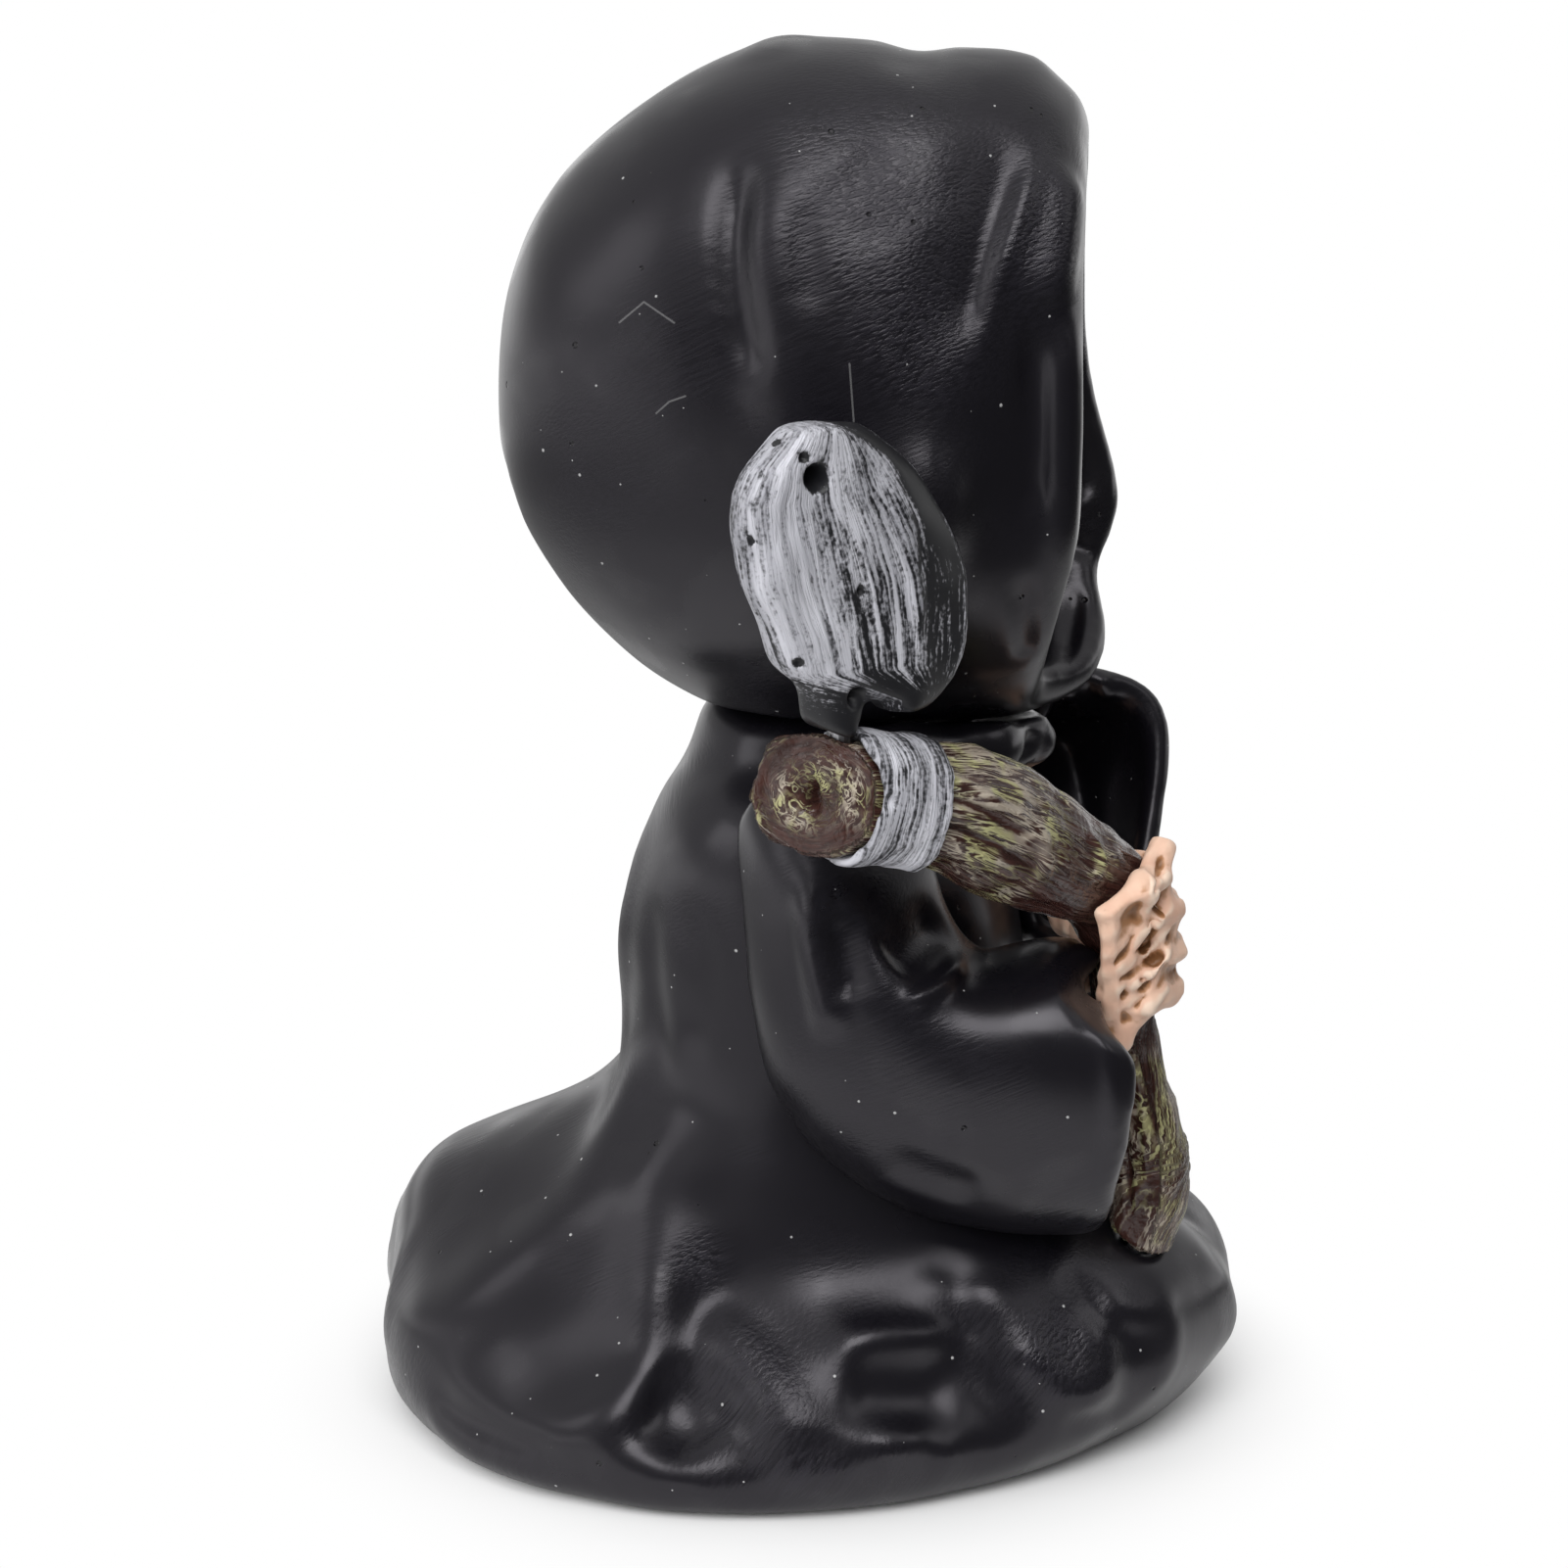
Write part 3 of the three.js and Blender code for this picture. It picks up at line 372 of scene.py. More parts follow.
def build_brush_strokes():
    """Fine parallel streaks left by a brush, along the side of a surface or across its front and back."""
    sockets = {"Length": ("Float", 0.005), "Width": ("Float", 0.0003)}
    sockets |= {"Slant": ("Float", 0.0), "Upright": ("Float", 0.0)}
    tree, given, out = group("Brush strokes", sockets, ["Streaks"])
    place = object_place(tree)
    fine = maths(tree, "DIVIDE", 1.0, given["Width"])
    coarse = maths(tree, "DIVIDE", 1.0, given["Length"])

    def streaks(scale, axis):
        turn = {"Vector": place, "Angle": given["Slant"]}
        turned = put(tree, "ShaderNodeVectorRotate", turn, rotation_type=axis).outputs[0]
        size = put(tree, "ShaderNodeCombineXYZ", scale).outputs[0]
        stretched = put(tree, "ShaderNodeVectorMath", {0: turned, 1: size}, operation="MULTIPLY").outputs[0]
        return noise_at(tree, stretched, 1.0, 2.0)

    sideways = streaks({"X": fine, "Y": coarse, "Z": fine}, "X_AXIS")
    across = streaks({"X": coarse, "Y": fine, "Z": fine}, "Y_AXIS")
    upright = streaks({"X": fine, "Y": fine, "Z": coarse}, "X_AXIS")
    normal = tree.nodes.new("ShaderNodeNewGeometry").outputs["Normal"]
    forward = put(tree, "ShaderNodeSeparateXYZ", {0: normal}).outputs["Y"]
    facing = rescale(tree, maths(tree, "ABSOLUTE", forward), 0.55, 0.8)
    level = put(tree, "ShaderNodeMix", {0: facing, 2: sideways, 3: across}).outputs[0]
    mixed = put(tree, "ShaderNodeMix", {0: given["Upright"], 2: level, 3: upright}).outputs[0]
    feed(tree, out["Streaks"], rescale(tree, mixed, 0.3, 0.7))


def build_specks():
    """Small round marks, such as pinholes or dust, on a share of evenly spread places."""
    sockets = {"Spacing": ("Float", 0.004), "Size": ("Float", 0.0003), "Share": ("Float", 0.3)}
    tree, given, out = group("Specks", sockets, ["Mask"])
    scale = maths(tree, "DIVIDE", 1.0, given["Spacing"])
    cells = put(tree, "ShaderNodeTexVoronoi", {"Vector": object_place(tree), "Scale": scale})
    chance = put(tree, "ShaderNodeSeparateColor", {0: cells.outputs["Color"]}).outputs
    chosen = maths(tree, "LESS_THAN", chance[0], given["Share"])
    size = times(tree, given["Size"], plus(tree, chance[1], 0.4))
    reach = times(tree, cells.outputs["Distance"], given["Spacing"])
    inner = times(tree, size, 0.5)
    mask = rescale(tree, reach, inner, size, 1.0, 0.0)
    feed(tree, out["Mask"], maths(tree, "MULTIPLY", mask, chosen, clamp=True))


def build_patches():
    """Broad uneven patches, such as where paint lies thicker."""
    sockets = {"Size": ("Float", 0.012), "From": ("Float", 0.45), "To": ("Float", 0.6)}
    tree, given, out = group("Patches", sockets, ["Mask"])
    value = noise_at(tree, object_place(tree), maths(tree, "DIVIDE", 1.0, given["Size"]), 2.0)
    feed(tree, out["Mask"], rescale(tree, value, given["From"], given["To"]))


def build_hollows():
    """Where the surface lies deeper than what is round it, broken up at its border."""
    sockets = {"From": ("Float", 0.5), "To": ("Float", 0.8), "Ragged": ("Float", 0.15)}
    tree, given, out = group("Hollows", sockets, ["Mask"])
    depth = kept_at(tree, "recess")
    rough = minus(tree, noise_at(tree, object_place(tree), 1400.0, 3.0), 0.5)
    value = plus(tree, depth, times(tree, rough, given["Ragged"]))
    feed(tree, out["Mask"], rescale(tree, value, given["From"], given["To"]))


def build_hair():
    """A stray hair of dust on the right side, straight between two places seen from there."""
    sockets = {"From": ("Vector", (0, 0, 0)), "To": ("Vector", (0, 0, 0)), "Width": ("Float", 0.0001)}
    tree, given, out = group("Hair", sockets, ["Mask"])

    def vector(operation, first, second=(0, 0, 0)):
        return put(tree, "ShaderNodeVectorMath", {0: first, 1: second}, operation=operation).outputs

    place = object_place(tree)
    flat = vector("MULTIPLY", place, (0, 1, 1))[0]
    span = vector("SUBTRACT", given["To"], given["From"])[0]
    offset = vector("SUBTRACT", flat, given["From"])[0]
    along = vector("DOT_PRODUCT", offset, span)["Value"]
    reach = maths(tree, "DIVIDE", along, vector("DOT_PRODUCT", span, span)["Value"], True)
    scaled = put(tree, "ShaderNodeVectorMath", {0: span, "Scale": reach}, operation="SCALE").outputs[0]
    away = vector("LENGTH", vector("SUBTRACT", offset, scaled)[0])["Value"]
    line = rescale(tree, away, times(tree, given["Width"], 0.5), given["Width"], 1.0, 0.0)
    right = maths(tree, "LESS_THAN", put(tree, "ShaderNodeSeparateXYZ", {0: place}).outputs["X"], -0.01)
    feed(tree, out["Mask"], times(tree, line, right))


# Stray hairs on the right of the hood, each from one place on its side view to another, in metres.
HAIRS = [
    ((0, 0.0112, 0.0814), (0, 0.0095, 0.0828)),
    ((0, 0.0095, 0.0828), (0, 0.0074, 0.0815)),
    ((0, 0.0086, 0.0755), (0, 0.0077, 0.0763)),
    ((0, 0.0077, 0.0763), (0, 0.0066, 0.0767)),
    ((0, -0.0044, 0.0790), (0, -0.0047, 0.0752)),
]


def build_grain_lines():
    """Fine lines along the grain that a piece keeps at its points, wandering a little."""
    sockets = {"Fine": ("Float", 2.0), "Wander": ("Float", 1.0)}
    tree, given, out = group("Grain lines", sockets, ["Lines"])
    grain = put(tree, "ShaderNodeAttribute", attribute_name="grain").outputs["Vector"]
    lines = noise_at(tree, grain, given["Fine"], 3.0, given["Wander"])
    feed(tree, out["Lines"], rescale(tree, lines, 0.34, 0.66))


def build_brown_patch():
    """Where a piece keeps a patch of another colour, with a ragged border."""
    tree, given, out = group("Marked", {"Ragged": ("Float", 0.5)}, ["Mask"])
    kept = kept_at(tree, "stain")
    rough = minus(tree, noise_at(tree, object_place(tree), 700.0, 4.0), 0.5)
    rough = times(tree, times(tree, rough, given["Ragged"]), kept)
    value = plus(tree, kept, rough)
    feed(tree, out["Mask"], rescale(tree, value, 0.3, 0.6))


# Paints and trims


def material(name):
    """A new material with one shader, and its tree."""
    made = bpy.data.materials.new(name)
    made.use_nodes = True
    tree = made.node_tree
    return made, tree, tree.nodes["Principled BSDF"]


def relief(tree, height, distance):
    """A bump of a height over the surface."""
    return put(tree, "ShaderNodeBump", {"Height": height, "Distance": distance}).outputs["Normal"]


def make_black_paint(paint):
    """Satin black brushed over resin, glossier where it pooled, with pinholes and specks of dust."""
    made, tree, shader = material("Brushed black paint")
    strokes = placed(tree, "Brush strokes", Length=0.0034, Width=0.0002, Slant=0.4)
    drawn = placed(tree, "Brush strokes", Length=0.006, Width=0.0003, Slant=-0.6, Upright=1.0)
    above_floor = put(tree, "ShaderNodeSeparateXYZ", {0: object_place(tree)}).outputs["Z"]
    high_up = rescale(tree, above_floor, 0.011, 0.016)
    streaks = put(tree, "ShaderNodeMix", {0: high_up, 2: drawn, 3: strokes}).outputs[0]
    brushed = kept_at(tree, "brushed")
    stray = placed(tree, "Patches", Size=0.012, From=0.46, To=0.66)
    shown = maths(tree, "MAXIMUM", times(tree, stray, 0.3), brushed)
    worked = times(tree, streaks, shown)
    pooled = placed(tree, "Patches", Size=0.007, From=0.5, To=0.66)
    pinholes = placed(tree, "Specks", Spacing=0.0025, Size=0.00022, Share=0.3)
    dust = placed(tree, "Specks", Spacing=0.0013, Size=0.00011, Share=0.34)
    hairs = 0.0
    for start, end in HAIRS:
        hairs = maths(tree, "MAXIMUM", hairs, placed(tree, "Hair", From=start, To=end, Width=0.00008))
    dust = maths(tree, "MAXIMUM", dust, times(tree, hairs, 0.22))
    colour = tint(tree, worked, (*paint.black, 1), (*paint.black_thin, 1))
    # A brown patch kept on the right sleeve, just below the branch.
    colour = tint(tree, placed(tree, "Marked", Ragged=0.7), colour, (*paint.stain, 1))
    colour = tint(tree, pinholes, colour, (0.002, 0.002, 0.002, 1))
    colour = tint(tree, times(tree, dust, 0.7), colour, (0.5, 0.5, 0.5, 1))
    feed(tree, shader.inputs["Base Color"], colour)
    rough = plus(tree, 0.3, times(tree, worked, 0.16))
    rough = minus(tree, rough, times(tree, pooled, 0.06))
    feed(tree, shader.inputs["Roughness"], rough)
    feed(tree, shader.inputs["Coat Weight"], times(tree, pooled, 0.12))
    shader.inputs["Coat Roughness"].default_value = 0.2
    shader.inputs["Specular Tint"].default_value = (0.97, 0.93, 1.0, 1)
    grain = noise_at(tree, object_place(tree), 2600.0, 2.0)
    height = plus(tree, times(tree, worked, 0.75), times(tree, grain, 0.1))
    height = minus(tree, height, times(tree, pinholes, 4.0))
    height = plus(tree, height, times(tree, dust, 0.8))
    feed(tree, shader.inputs["Normal"], relief(tree, height, 0.00004))
    return made


def make_bone_paint(paint):
    """Cream paint with an amber wash that stayed in the hollows."""
    made, tree, shader = material("Washed bone paint")
    wash = placed(tree, "Hollows", From=0.54, To=0.78, Ragged=0.4)
    dark = placed(tree, "Hollows", From=0.78, To=1.0, Ragged=0.2)
    worn = placed(tree, "Hollows", From=0.42, To=0.18, Ragged=0.2)
    blush = placed(tree, "Patches", Size=0.003, From=0.4, To=0.65)
    colour = tint(tree, times(tree, blush, 0.6), (*paint.bone, 1), (*paint.bone_warm, 1))
    colour = tint(tree, times(tree, worn, 0.6), colour, (*paint.bone_light, 1))
    colour = tint(tree, times(tree, wash, 0.85), colour, (*paint.bone_wash, 1))
    colour = tint(tree, times(tree, dark, 0.7), colour, (*paint.bone_deep, 1))
    feed(tree, shader.inputs["Base Color"], colour)
    feed(tree, shader.inputs["Roughness"], minus(tree, 0.55, times(tree, wash, 0.2)))
    grain = noise_at(tree, object_place(tree), 1800.0, 3.0)
    feed(tree, shader.inputs["Normal"], relief(tree, grain, 0.00006))
    return made


def make_wood_paint(paint):
    """Glossy red-brown paint, dry-brushed yellow-green and grey in fine wandering lines."""
    made, tree, shader = material("Brushed wood paint")
    place = object_place(tree)
    fine = placed(tree, "Grain lines", Fine=3.6, Wander=1.5)
    wide = placed(tree, "Grain lines", Fine=2.2, Wander=2.4)
    strand = rescale(tree, maths(tree, "ABSOLUTE", minus(tree, fine, 0.5)), 0.3, 0.04)
    raised = placed(tree, "Hollows", From=0.7, To=0.46, Ragged=0.3)
    patch = placed(tree, "Patches", Size=0.0042, From=0.4, To=0.66)
    cover = kept_at(tree, "cover")
    amount = plus(tree, cover, times(tree, patch, 0.45))
    thin = times(tree, strand, rescale(tree, amount, 0.25, 0.75))
    thick = times(tree, rescale(tree, wide, 0.35, 0.9), rescale(tree, amount, 0.5, 1.1))
    laid = maths(tree, "MAXIMUM", thin, times(tree, thick, 0.75))
    brushed = times(tree, laid, raised)
    green = placed(tree, "Patches", Size=0.0022, From=0.42, To=0.58)
    over = tint(tree, green, (*paint.wood_grey, 1), (*paint.wood_green, 1))
    shade = tint(tree, wide, (*paint.wood_dark, 1), (*paint.wood, 1))
    feed(tree, shader.inputs["Base Color"], tint(tree, times(tree, brushed, 0.9), shade, over))
    feed(tree, shader.inputs["Roughness"], rescale(tree, brushed, 0.0, 1.0, 0.2, 0.5))
    lumps = noise_at(tree, place, 700.0, 3.0)
    height = plus(tree, times(tree, fine, 0.4), times(tree, lumps, 1.6))
    feed(tree, shader.inputs["Normal"], relief(tree, height, 0.00014))
    return made


def make_silver_paint(paint):
    """Matt silver dry-brushed in long streaks over black, with black flecks and pits."""
    made, tree, shader = material("Dry-brushed silver paint")
    fine = placed(tree, "Grain lines", Fine=6.5, Wander=0.3)
    broad = placed(tree, "Grain lines", Fine=1.6, Wander=0.3)
    flecks = noise_at(tree, object_place(tree), 3400.0, 3.0)
    # The kept cover is thin on the blade's bevel, which paints shade there.
    cover = kept_at(tree, "cover")
    laid = plus(tree, times(tree, fine, 0.36), times(tree, broad, 0.26))
    laid = plus(tree, laid, times(tree, flecks, 0.75))
    silver = rescale(tree, plus(tree, laid, cover), 1.08, 1.5)
    pits = placed(tree, "Specks", Spacing=0.0035, Size=0.00028, Share=0.3)
    silver = times(tree, silver, minus(tree, 1.0, pits))
    bright = tint(tree, broad, (*paint.silver_dim, 1), (*paint.silver, 1))
    feed(tree, shader.inputs["Base Color"], tint(tree, silver, (*paint.under_silver, 1), bright))
    feed(tree, shader.inputs["Metallic"], times(tree, silver, 0.12))
    feed(tree, shader.inputs["Roughness"], rescale(tree, silver, 0.0, 1.0, 0.4, 0.55))
    height = times(tree, silver, fine)
    height = minus(tree, height, times(tree, pits, 3.0))
    feed(tree, shader.inputs["Normal"], relief(tree, height, 0.00006))
    return made


def make_felt(paint):
    """Thin pressed felt under the base."""
    made, tree, shader = material("Black felt")
    place = object_place(tree)
    fibres = noise_at(tree, place, 3200.0, 6.0, 1.8)
    tufts = noise_at(tree, place, 600.0, 2.0)
    fluff = rescale(tree, times(tree, fibres, tufts), 0.15, 0.4)
    feed(tree, shader.inputs["Base Color"], tint(tree, fluff, (*paint.felt_deep, 1), (*paint.felt, 1)))
    shader.inputs["Roughness"].default_value = 0.95
    shader.inputs["Sheen Weight"].default_value = 0.3
    feed(tree, shader.inputs["Normal"], relief(tree, fibres, 0.0002))
    return made


def make_steel(paint):
    """Drawn wire with fine lines along it and a little tarnish."""
    made, tree, shader = material("Drawn steel wire")
    drawn = placed(tree, "Brush strokes", Length=0.01, Width=0.00006, Upright=1.0)
    tarnish = placed(tree, "Patches", Size=0.002, From=0.5, To=0.7)
    colour = tint(tree, times(tree, tarnish, 0.4), (*paint.steel, 1), (*paint.tarnish, 1))
    feed(tree, shader.inputs["Base Color"], colour)
    shader.inputs["Metallic"].default_value = 1.0
    feed(tree, shader.inputs["Roughness"], rescale(tree, drawn, 0.0, 1.0, 0.28, 0.42))
    feed(tree, shader.inputs["Normal"], relief(tree, drawn, 0.00001))
    return made


PAINT_MAKERS = (make_black_paint, make_bone_paint, make_wood_paint, make_silver_paint, make_felt, make_steel)
SLOT_PAINTS = {
    "black_paint": "Brushed black paint",
    "bone_paint": "Washed bone paint",
    "wood_paint": "Brushed wood paint",
    "silver_paint": "Dry-brushed silver paint",
}


def coat(piece, name):
    """Paints a piece all over with one material."""
    piece.data.materials.clear()
    piece.data.materials.append(bpy.data.materials[name])


# Sizes and colours


def swatch(name, description, default):
    """A colour that the panel shows."""
    choice = {"name": name, "description": description, "default": default}
    return FloatVectorProperty(**choice, subtype="COLOR", min=0.0, max=1.0)


def number(name, description, default, **limits):
    """A number that the panel shows, never below nothing."""
    return FloatProperty(name=name, description=description, default=default, min=0.0, **limits)


class ReaperPaint(PropertyGroup):
    """The colours of the paints."""

    black: swatch("Black", "The black of the cloth", (0.0046, 0.0042, 0.006))
    black_thin: swatch("Thin black", "The black where brush strokes left it thin", (0.01, 0.0092, 0.013))
    # A brown patch on the sleeve just below the branch.
    stain: swatch("Stain", "The brown of the branch where it strayed onto the sleeve", (0.03, 0.013, 0.011))
    bone: swatch("Bone", "The cream of the bones", (0.76, 0.51, 0.38))
    bone_warm: swatch("Warm bone", "The blush in the cream", (0.7, 0.4, 0.28))
    bone_light: swatch("Light bone", "The cream on worn ridges", (0.84, 0.7, 0.57))
    bone_wash: swatch("Bone wash", "The amber wash in the hollows", (0.34, 0.15, 0.05))
    bone_deep: swatch("Deep wash", "The brown at the bottom of the hollows", (0.12, 0.045, 0.012))
    wood: swatch("Wood", "The red-brown of the branch", (0.05, 0.02, 0.0155))
    wood_dark: swatch("Dark wood", "The brown in the hollows of the branch", (0.026, 0.011, 0.009))
    wood_green: swatch("Green brush", "The yellow-green dry brushing on the branch", (0.42, 0.41, 0.2))
    wood_grey: swatch("Grey brush", "The grey dry brushing on the branch", (0.4, 0.35, 0.28))
    silver: swatch("Silver", "The silver of the blade", (0.58, 0.58, 0.63))
    silver_dim: swatch("Thin silver", "The silver where strokes are thin", (0.34, 0.34, 0.375))
    under_silver: swatch("Under silver", "The black under the silver", (0.01, 0.01, 0.012))
    felt_deep: swatch("Deep felt", "The felt between its fibres", (0.006,) * 3)
    felt: swatch("Felt", "The fibres of the felt", (0.035,) * 3)
    steel: swatch("Steel", "The wire of the pins", (0.55, 0.55, 0.57))
    tarnish: swatch("Tarnish", "The tarnish on the pins", (0.3, 0.26, 0.22))


class ReaperSculpt(PropertyGroup):
    """The sizes of the sculpted surfaces, in millimetres."""

    robe_grain: number("Robe grain", "Size of the faces of the robe and hood", 0.42)
    limb_grain: number("Limb grain", "Size of the faces of the sleeves", 0.34)
    small_grain: number("Fine grain", "Size of the faces of small castings", 0.2)
    finger_web: number("Finger web", "Half the gap between bones that resin fills", 0.75)
    fold_depth: number("Fold depth", "Depth of the folds, as a share of the original's", 1.0, max=2.0)
    unevenness: number("Unevenness", "Height of the unevenness of the master", 0.16, max=0.5)


class ReaperStage(PropertyGroup):
    """The floor, the lights and the camera."""

    floor: swatch("Floor", "The colour of the floor", (0.9,) * 3)
    floor_edge: swatch("Floor's edge", "The colour of the floor away from the figure", (0.42,) * 3)
    floor_end: swatch("Floor's end", "The colour where the pale floor ends in front", (0.06,) * 3)
    lit_side: number("Lit side", "Brightness of the room behind the figure", 1.35)
    lit_above: number("Lit above", "Share of that brightness that reaches higher up", 0.42)
    dark_side: number("Dark side", "Brightness of the room in front", 0.1)
    top_light: number("Top light", "Power of the light overhead", 0.95, unit="POWER")
    side_light: number("Side light", "Power of the light to the left", 0.16, unit="POWER")
    front_light: number("Front light", "Power of the light in front", 0.11, unit="POWER")
    fill_light: number("Fill light", "Power of the soft fill", 2.4, unit="POWER")
    lens: number("Lens", "Focal length of the camera in millimetres", 81.68)


# Pieces

# The strokes below are drawn on views of the figure, in millimetres from its upright axis and from
# the ground. Each gives its path, its half width and how far it stands out.

ROBE_STROKES = {
    "right": [
        (
            [(9.3, 20.1), (8.9, 14.2), (8.4, 11.5), (8.6, 9.6), (10.2, 8.0), (13.2, 5.8), (17.0, 4.1)],
            2.8,
            0.4,
        ),
        ([(9.4, 8.0), (6.8, 6.7), (4.4, 5.0)], 4.4, -1.15),
        ([(6.6, 12.6), (3.2, 10.0), (-0.2, 7.2), (-3.2, 4.4)], 3.6, 0.9),
        ([(13.0, 5.0), (10.2, 4.0), (6.4, 3.2), (2.6, 2.8)], 1.8, 0.35),
        ([(0.9, 4.2), (-2.8, 3.6), (-5.6, 4.0)], 1.9, 0.4),
        ([(-3.0, 11.2), (-6.6, 11.6), (-9.4, 11.3), (-12.6, 10.3)], 2.0, 0.6),
        ([(-4.6, 8.7), (-8.3, 7.9), (-12.6, 7.4)], 3.6, -0.8),
        ([(-6.9, 5.0), (-8.9, 5.3), (-10.8, 4.9)], 1.8, 0.45),
        ([(-10.8, 3.9), (-12.8, 4.1)], 1.4, 0.4),
        ([(26.5, 5.8), (24.3, 4.6), (21.6, 4.0), (17.9, 3.9), (14.5, 3.9)], 1.8, -0.5),
        ([(26.6, 3.6), (23.8, 2.2), (19.7, 1.8), (14.0, 1.8)], 1.8, 0.4),
        ([(-8.2, 14.5), (-10.9, 13.6), (-13.7, 13.2), (-15.7, 13.8)], 2.0, 0.3),
        ([(-12.2, 15.5), (-12.6, 12.6), (-13.8, 10.0)], 1.2, -0.4),
        ([(-15.6, 10.9), (-17.9, 9.2), (-19.8, 7.2), (-22.5, 6.1)], 1.8, 0.35),
        ([(-21.4, 12.0), (-22.2, 8.4), (-22.6, 5.2)], 2.8, 0.7),
        ([(-19.4, 5.0), (-22.1, 4.6), (-24.9, 4.4)], 1.2, -0.5),
        ([(-19.1, 15.3), (-21.5, 12.6), (-23.8, 10.2), (-26.4, 8.5)], 1.2, -0.4),
        ([(-22.0, 12.4), (-24.3, 11.2), (-27.6, 10.8)], 1.6, 0.4),
        ([(8.5, 41.9), (6.1, 35.4), (6.8, 31.7), (7.7, 28.6)], 2.4, -0.35),
    ],
    "left": [
        ([(8.0, 21.0), (8.6, 16.5), (8.2, 12.0), (10.4, 8.0), (14.0, 5.2)], 2.0, 0.4),
        ([(5.2, 14.0), (5.0, 10.0), (8.0, 6.4)], 2.2, -0.45),
        ([(26.0, 6.2), (22.6, 4.8), (17.8, 4.4), (13.0, 4.6)], 1.8, -0.5),
        ([(4.0, 8.0), (0.5, 6.4), (-2.6, 6.0)], 2.0, 0.7),
        ([(2.0, 12.6), (-2.4, 11.6), (-6.4, 11.8), (-10.6, 10.6)], 1.5, 0.35),
        ([(-1.0, 9.4), (-5.0, 9.0), (-9.6, 8.6)], 1.8, -0.35),
        ([(-6.0, 6.0), (-9.4, 5.0), (-12.4, 5.2)], 1.6, 0.7),
        ([(-13.0, 13.0), (-15.6, 10.4), (-17.2, 7.0), (-20.4, 5.0)], 1.6, 0.3),
        ([(-17.0, 14.6), (-20.0, 11.6), (-23.4, 9.4)], 1.2, -0.35),
    ],
    "back": [
        ([(-3.0, 46.0), (-4.5, 38.0), (-3.6, 30.0), (-5.4, 23.0)], 2.2, 0.5),
        ([(0.6, 44.0), (-0.4, 36.0), (1.0, 28.0), (0.0, 22.0)], 1.9, -0.5),
        ([(5.4, 45.0), (6.0, 37.0), (5.0, 29.0), (7.4, 22.0)], 2.2, 0.5),
        ([(-9.4, 40.0), (-9.8, 33.0), (-11.4, 26.0)], 2.0, -0.4),
        ([(10.4, 41.0), (10.0, 33.0), (12.4, 26.0)], 2.0, -0.4),
        ([(-7.0, 14.0), (-9.4, 9.0), (-13.0, 4.6)], 2.0, 0.3),
        ([(3.4, 13.6), (4.0, 8.4), (2.4, 4.2)], 1.6, 0.3),
        ([(9.0, 14.0), (10.6, 9.0), (11.4, 4.4)], 2.2, -0.6),
    ],
    "front": [
        ([(2.0, 31.0), (1.0, 24.0), (3.0, 17.0), (6.0, 9.0)], 1.6, 0.3),
        ([(-2.4, 30.0), (-3.0, 23.0), (-1.6, 16.0), (0.4, 8.0)], 1.4, -0.3),
        ([(8.4, 30.0), (8.0, 22.0), (10.6, 14.0), (14.4, 7.0)], 1.4, -0.3),
        ([(-5.6, 12.0), (-4.2, 8.0), (-3.6, 4.0)], 1.5, 0.3),
        ([(-12.4, 13.0), (-13.4, 8.6), (-15.2, 4.6)], 1.5, 0.3),
    ],
}

NAPE, NAPE_REACH, NAPE_LIFT = (0.0, 5.0, 52.0), 7.0, 0.85  # meets the hood round the neck pin

# Where brush strokes show in the black: places on the right side of the robe and of the hood, each
# with its reach along the two axes of that view.
ROBE_BRUSHED = [
    ((2.0, 8.6), (4.0, 3.4)),
    ((-2.4, 3.4), (3.4, 1.6)),
    ((-18.4, 9.6), (3.0, 3.0)),
    ((6.0, 15.4), (1.8, 1.6)),
]
HOOD_BRUSHED = [
    ((-5.6, 90.0), (6.6, 7.0)),
    ((-16.6, 88.0), (2.4, 5.4)),
    ((-9.0, 80.0), (4.0, 4.0)),
]

# Places on the hood that are worn smooth.
BOSS_MIDDLE, BOSS_REACH = (-18.0, -9.5, 72.0), 9.0
PLEAT_MIDDLE, PLEAT_REACH = (-21.0, 3.6, 84.0), 11.0
BROW_MIDDLE, BROW_REACH = (-8.0, -14.5, 97.0), 8.0

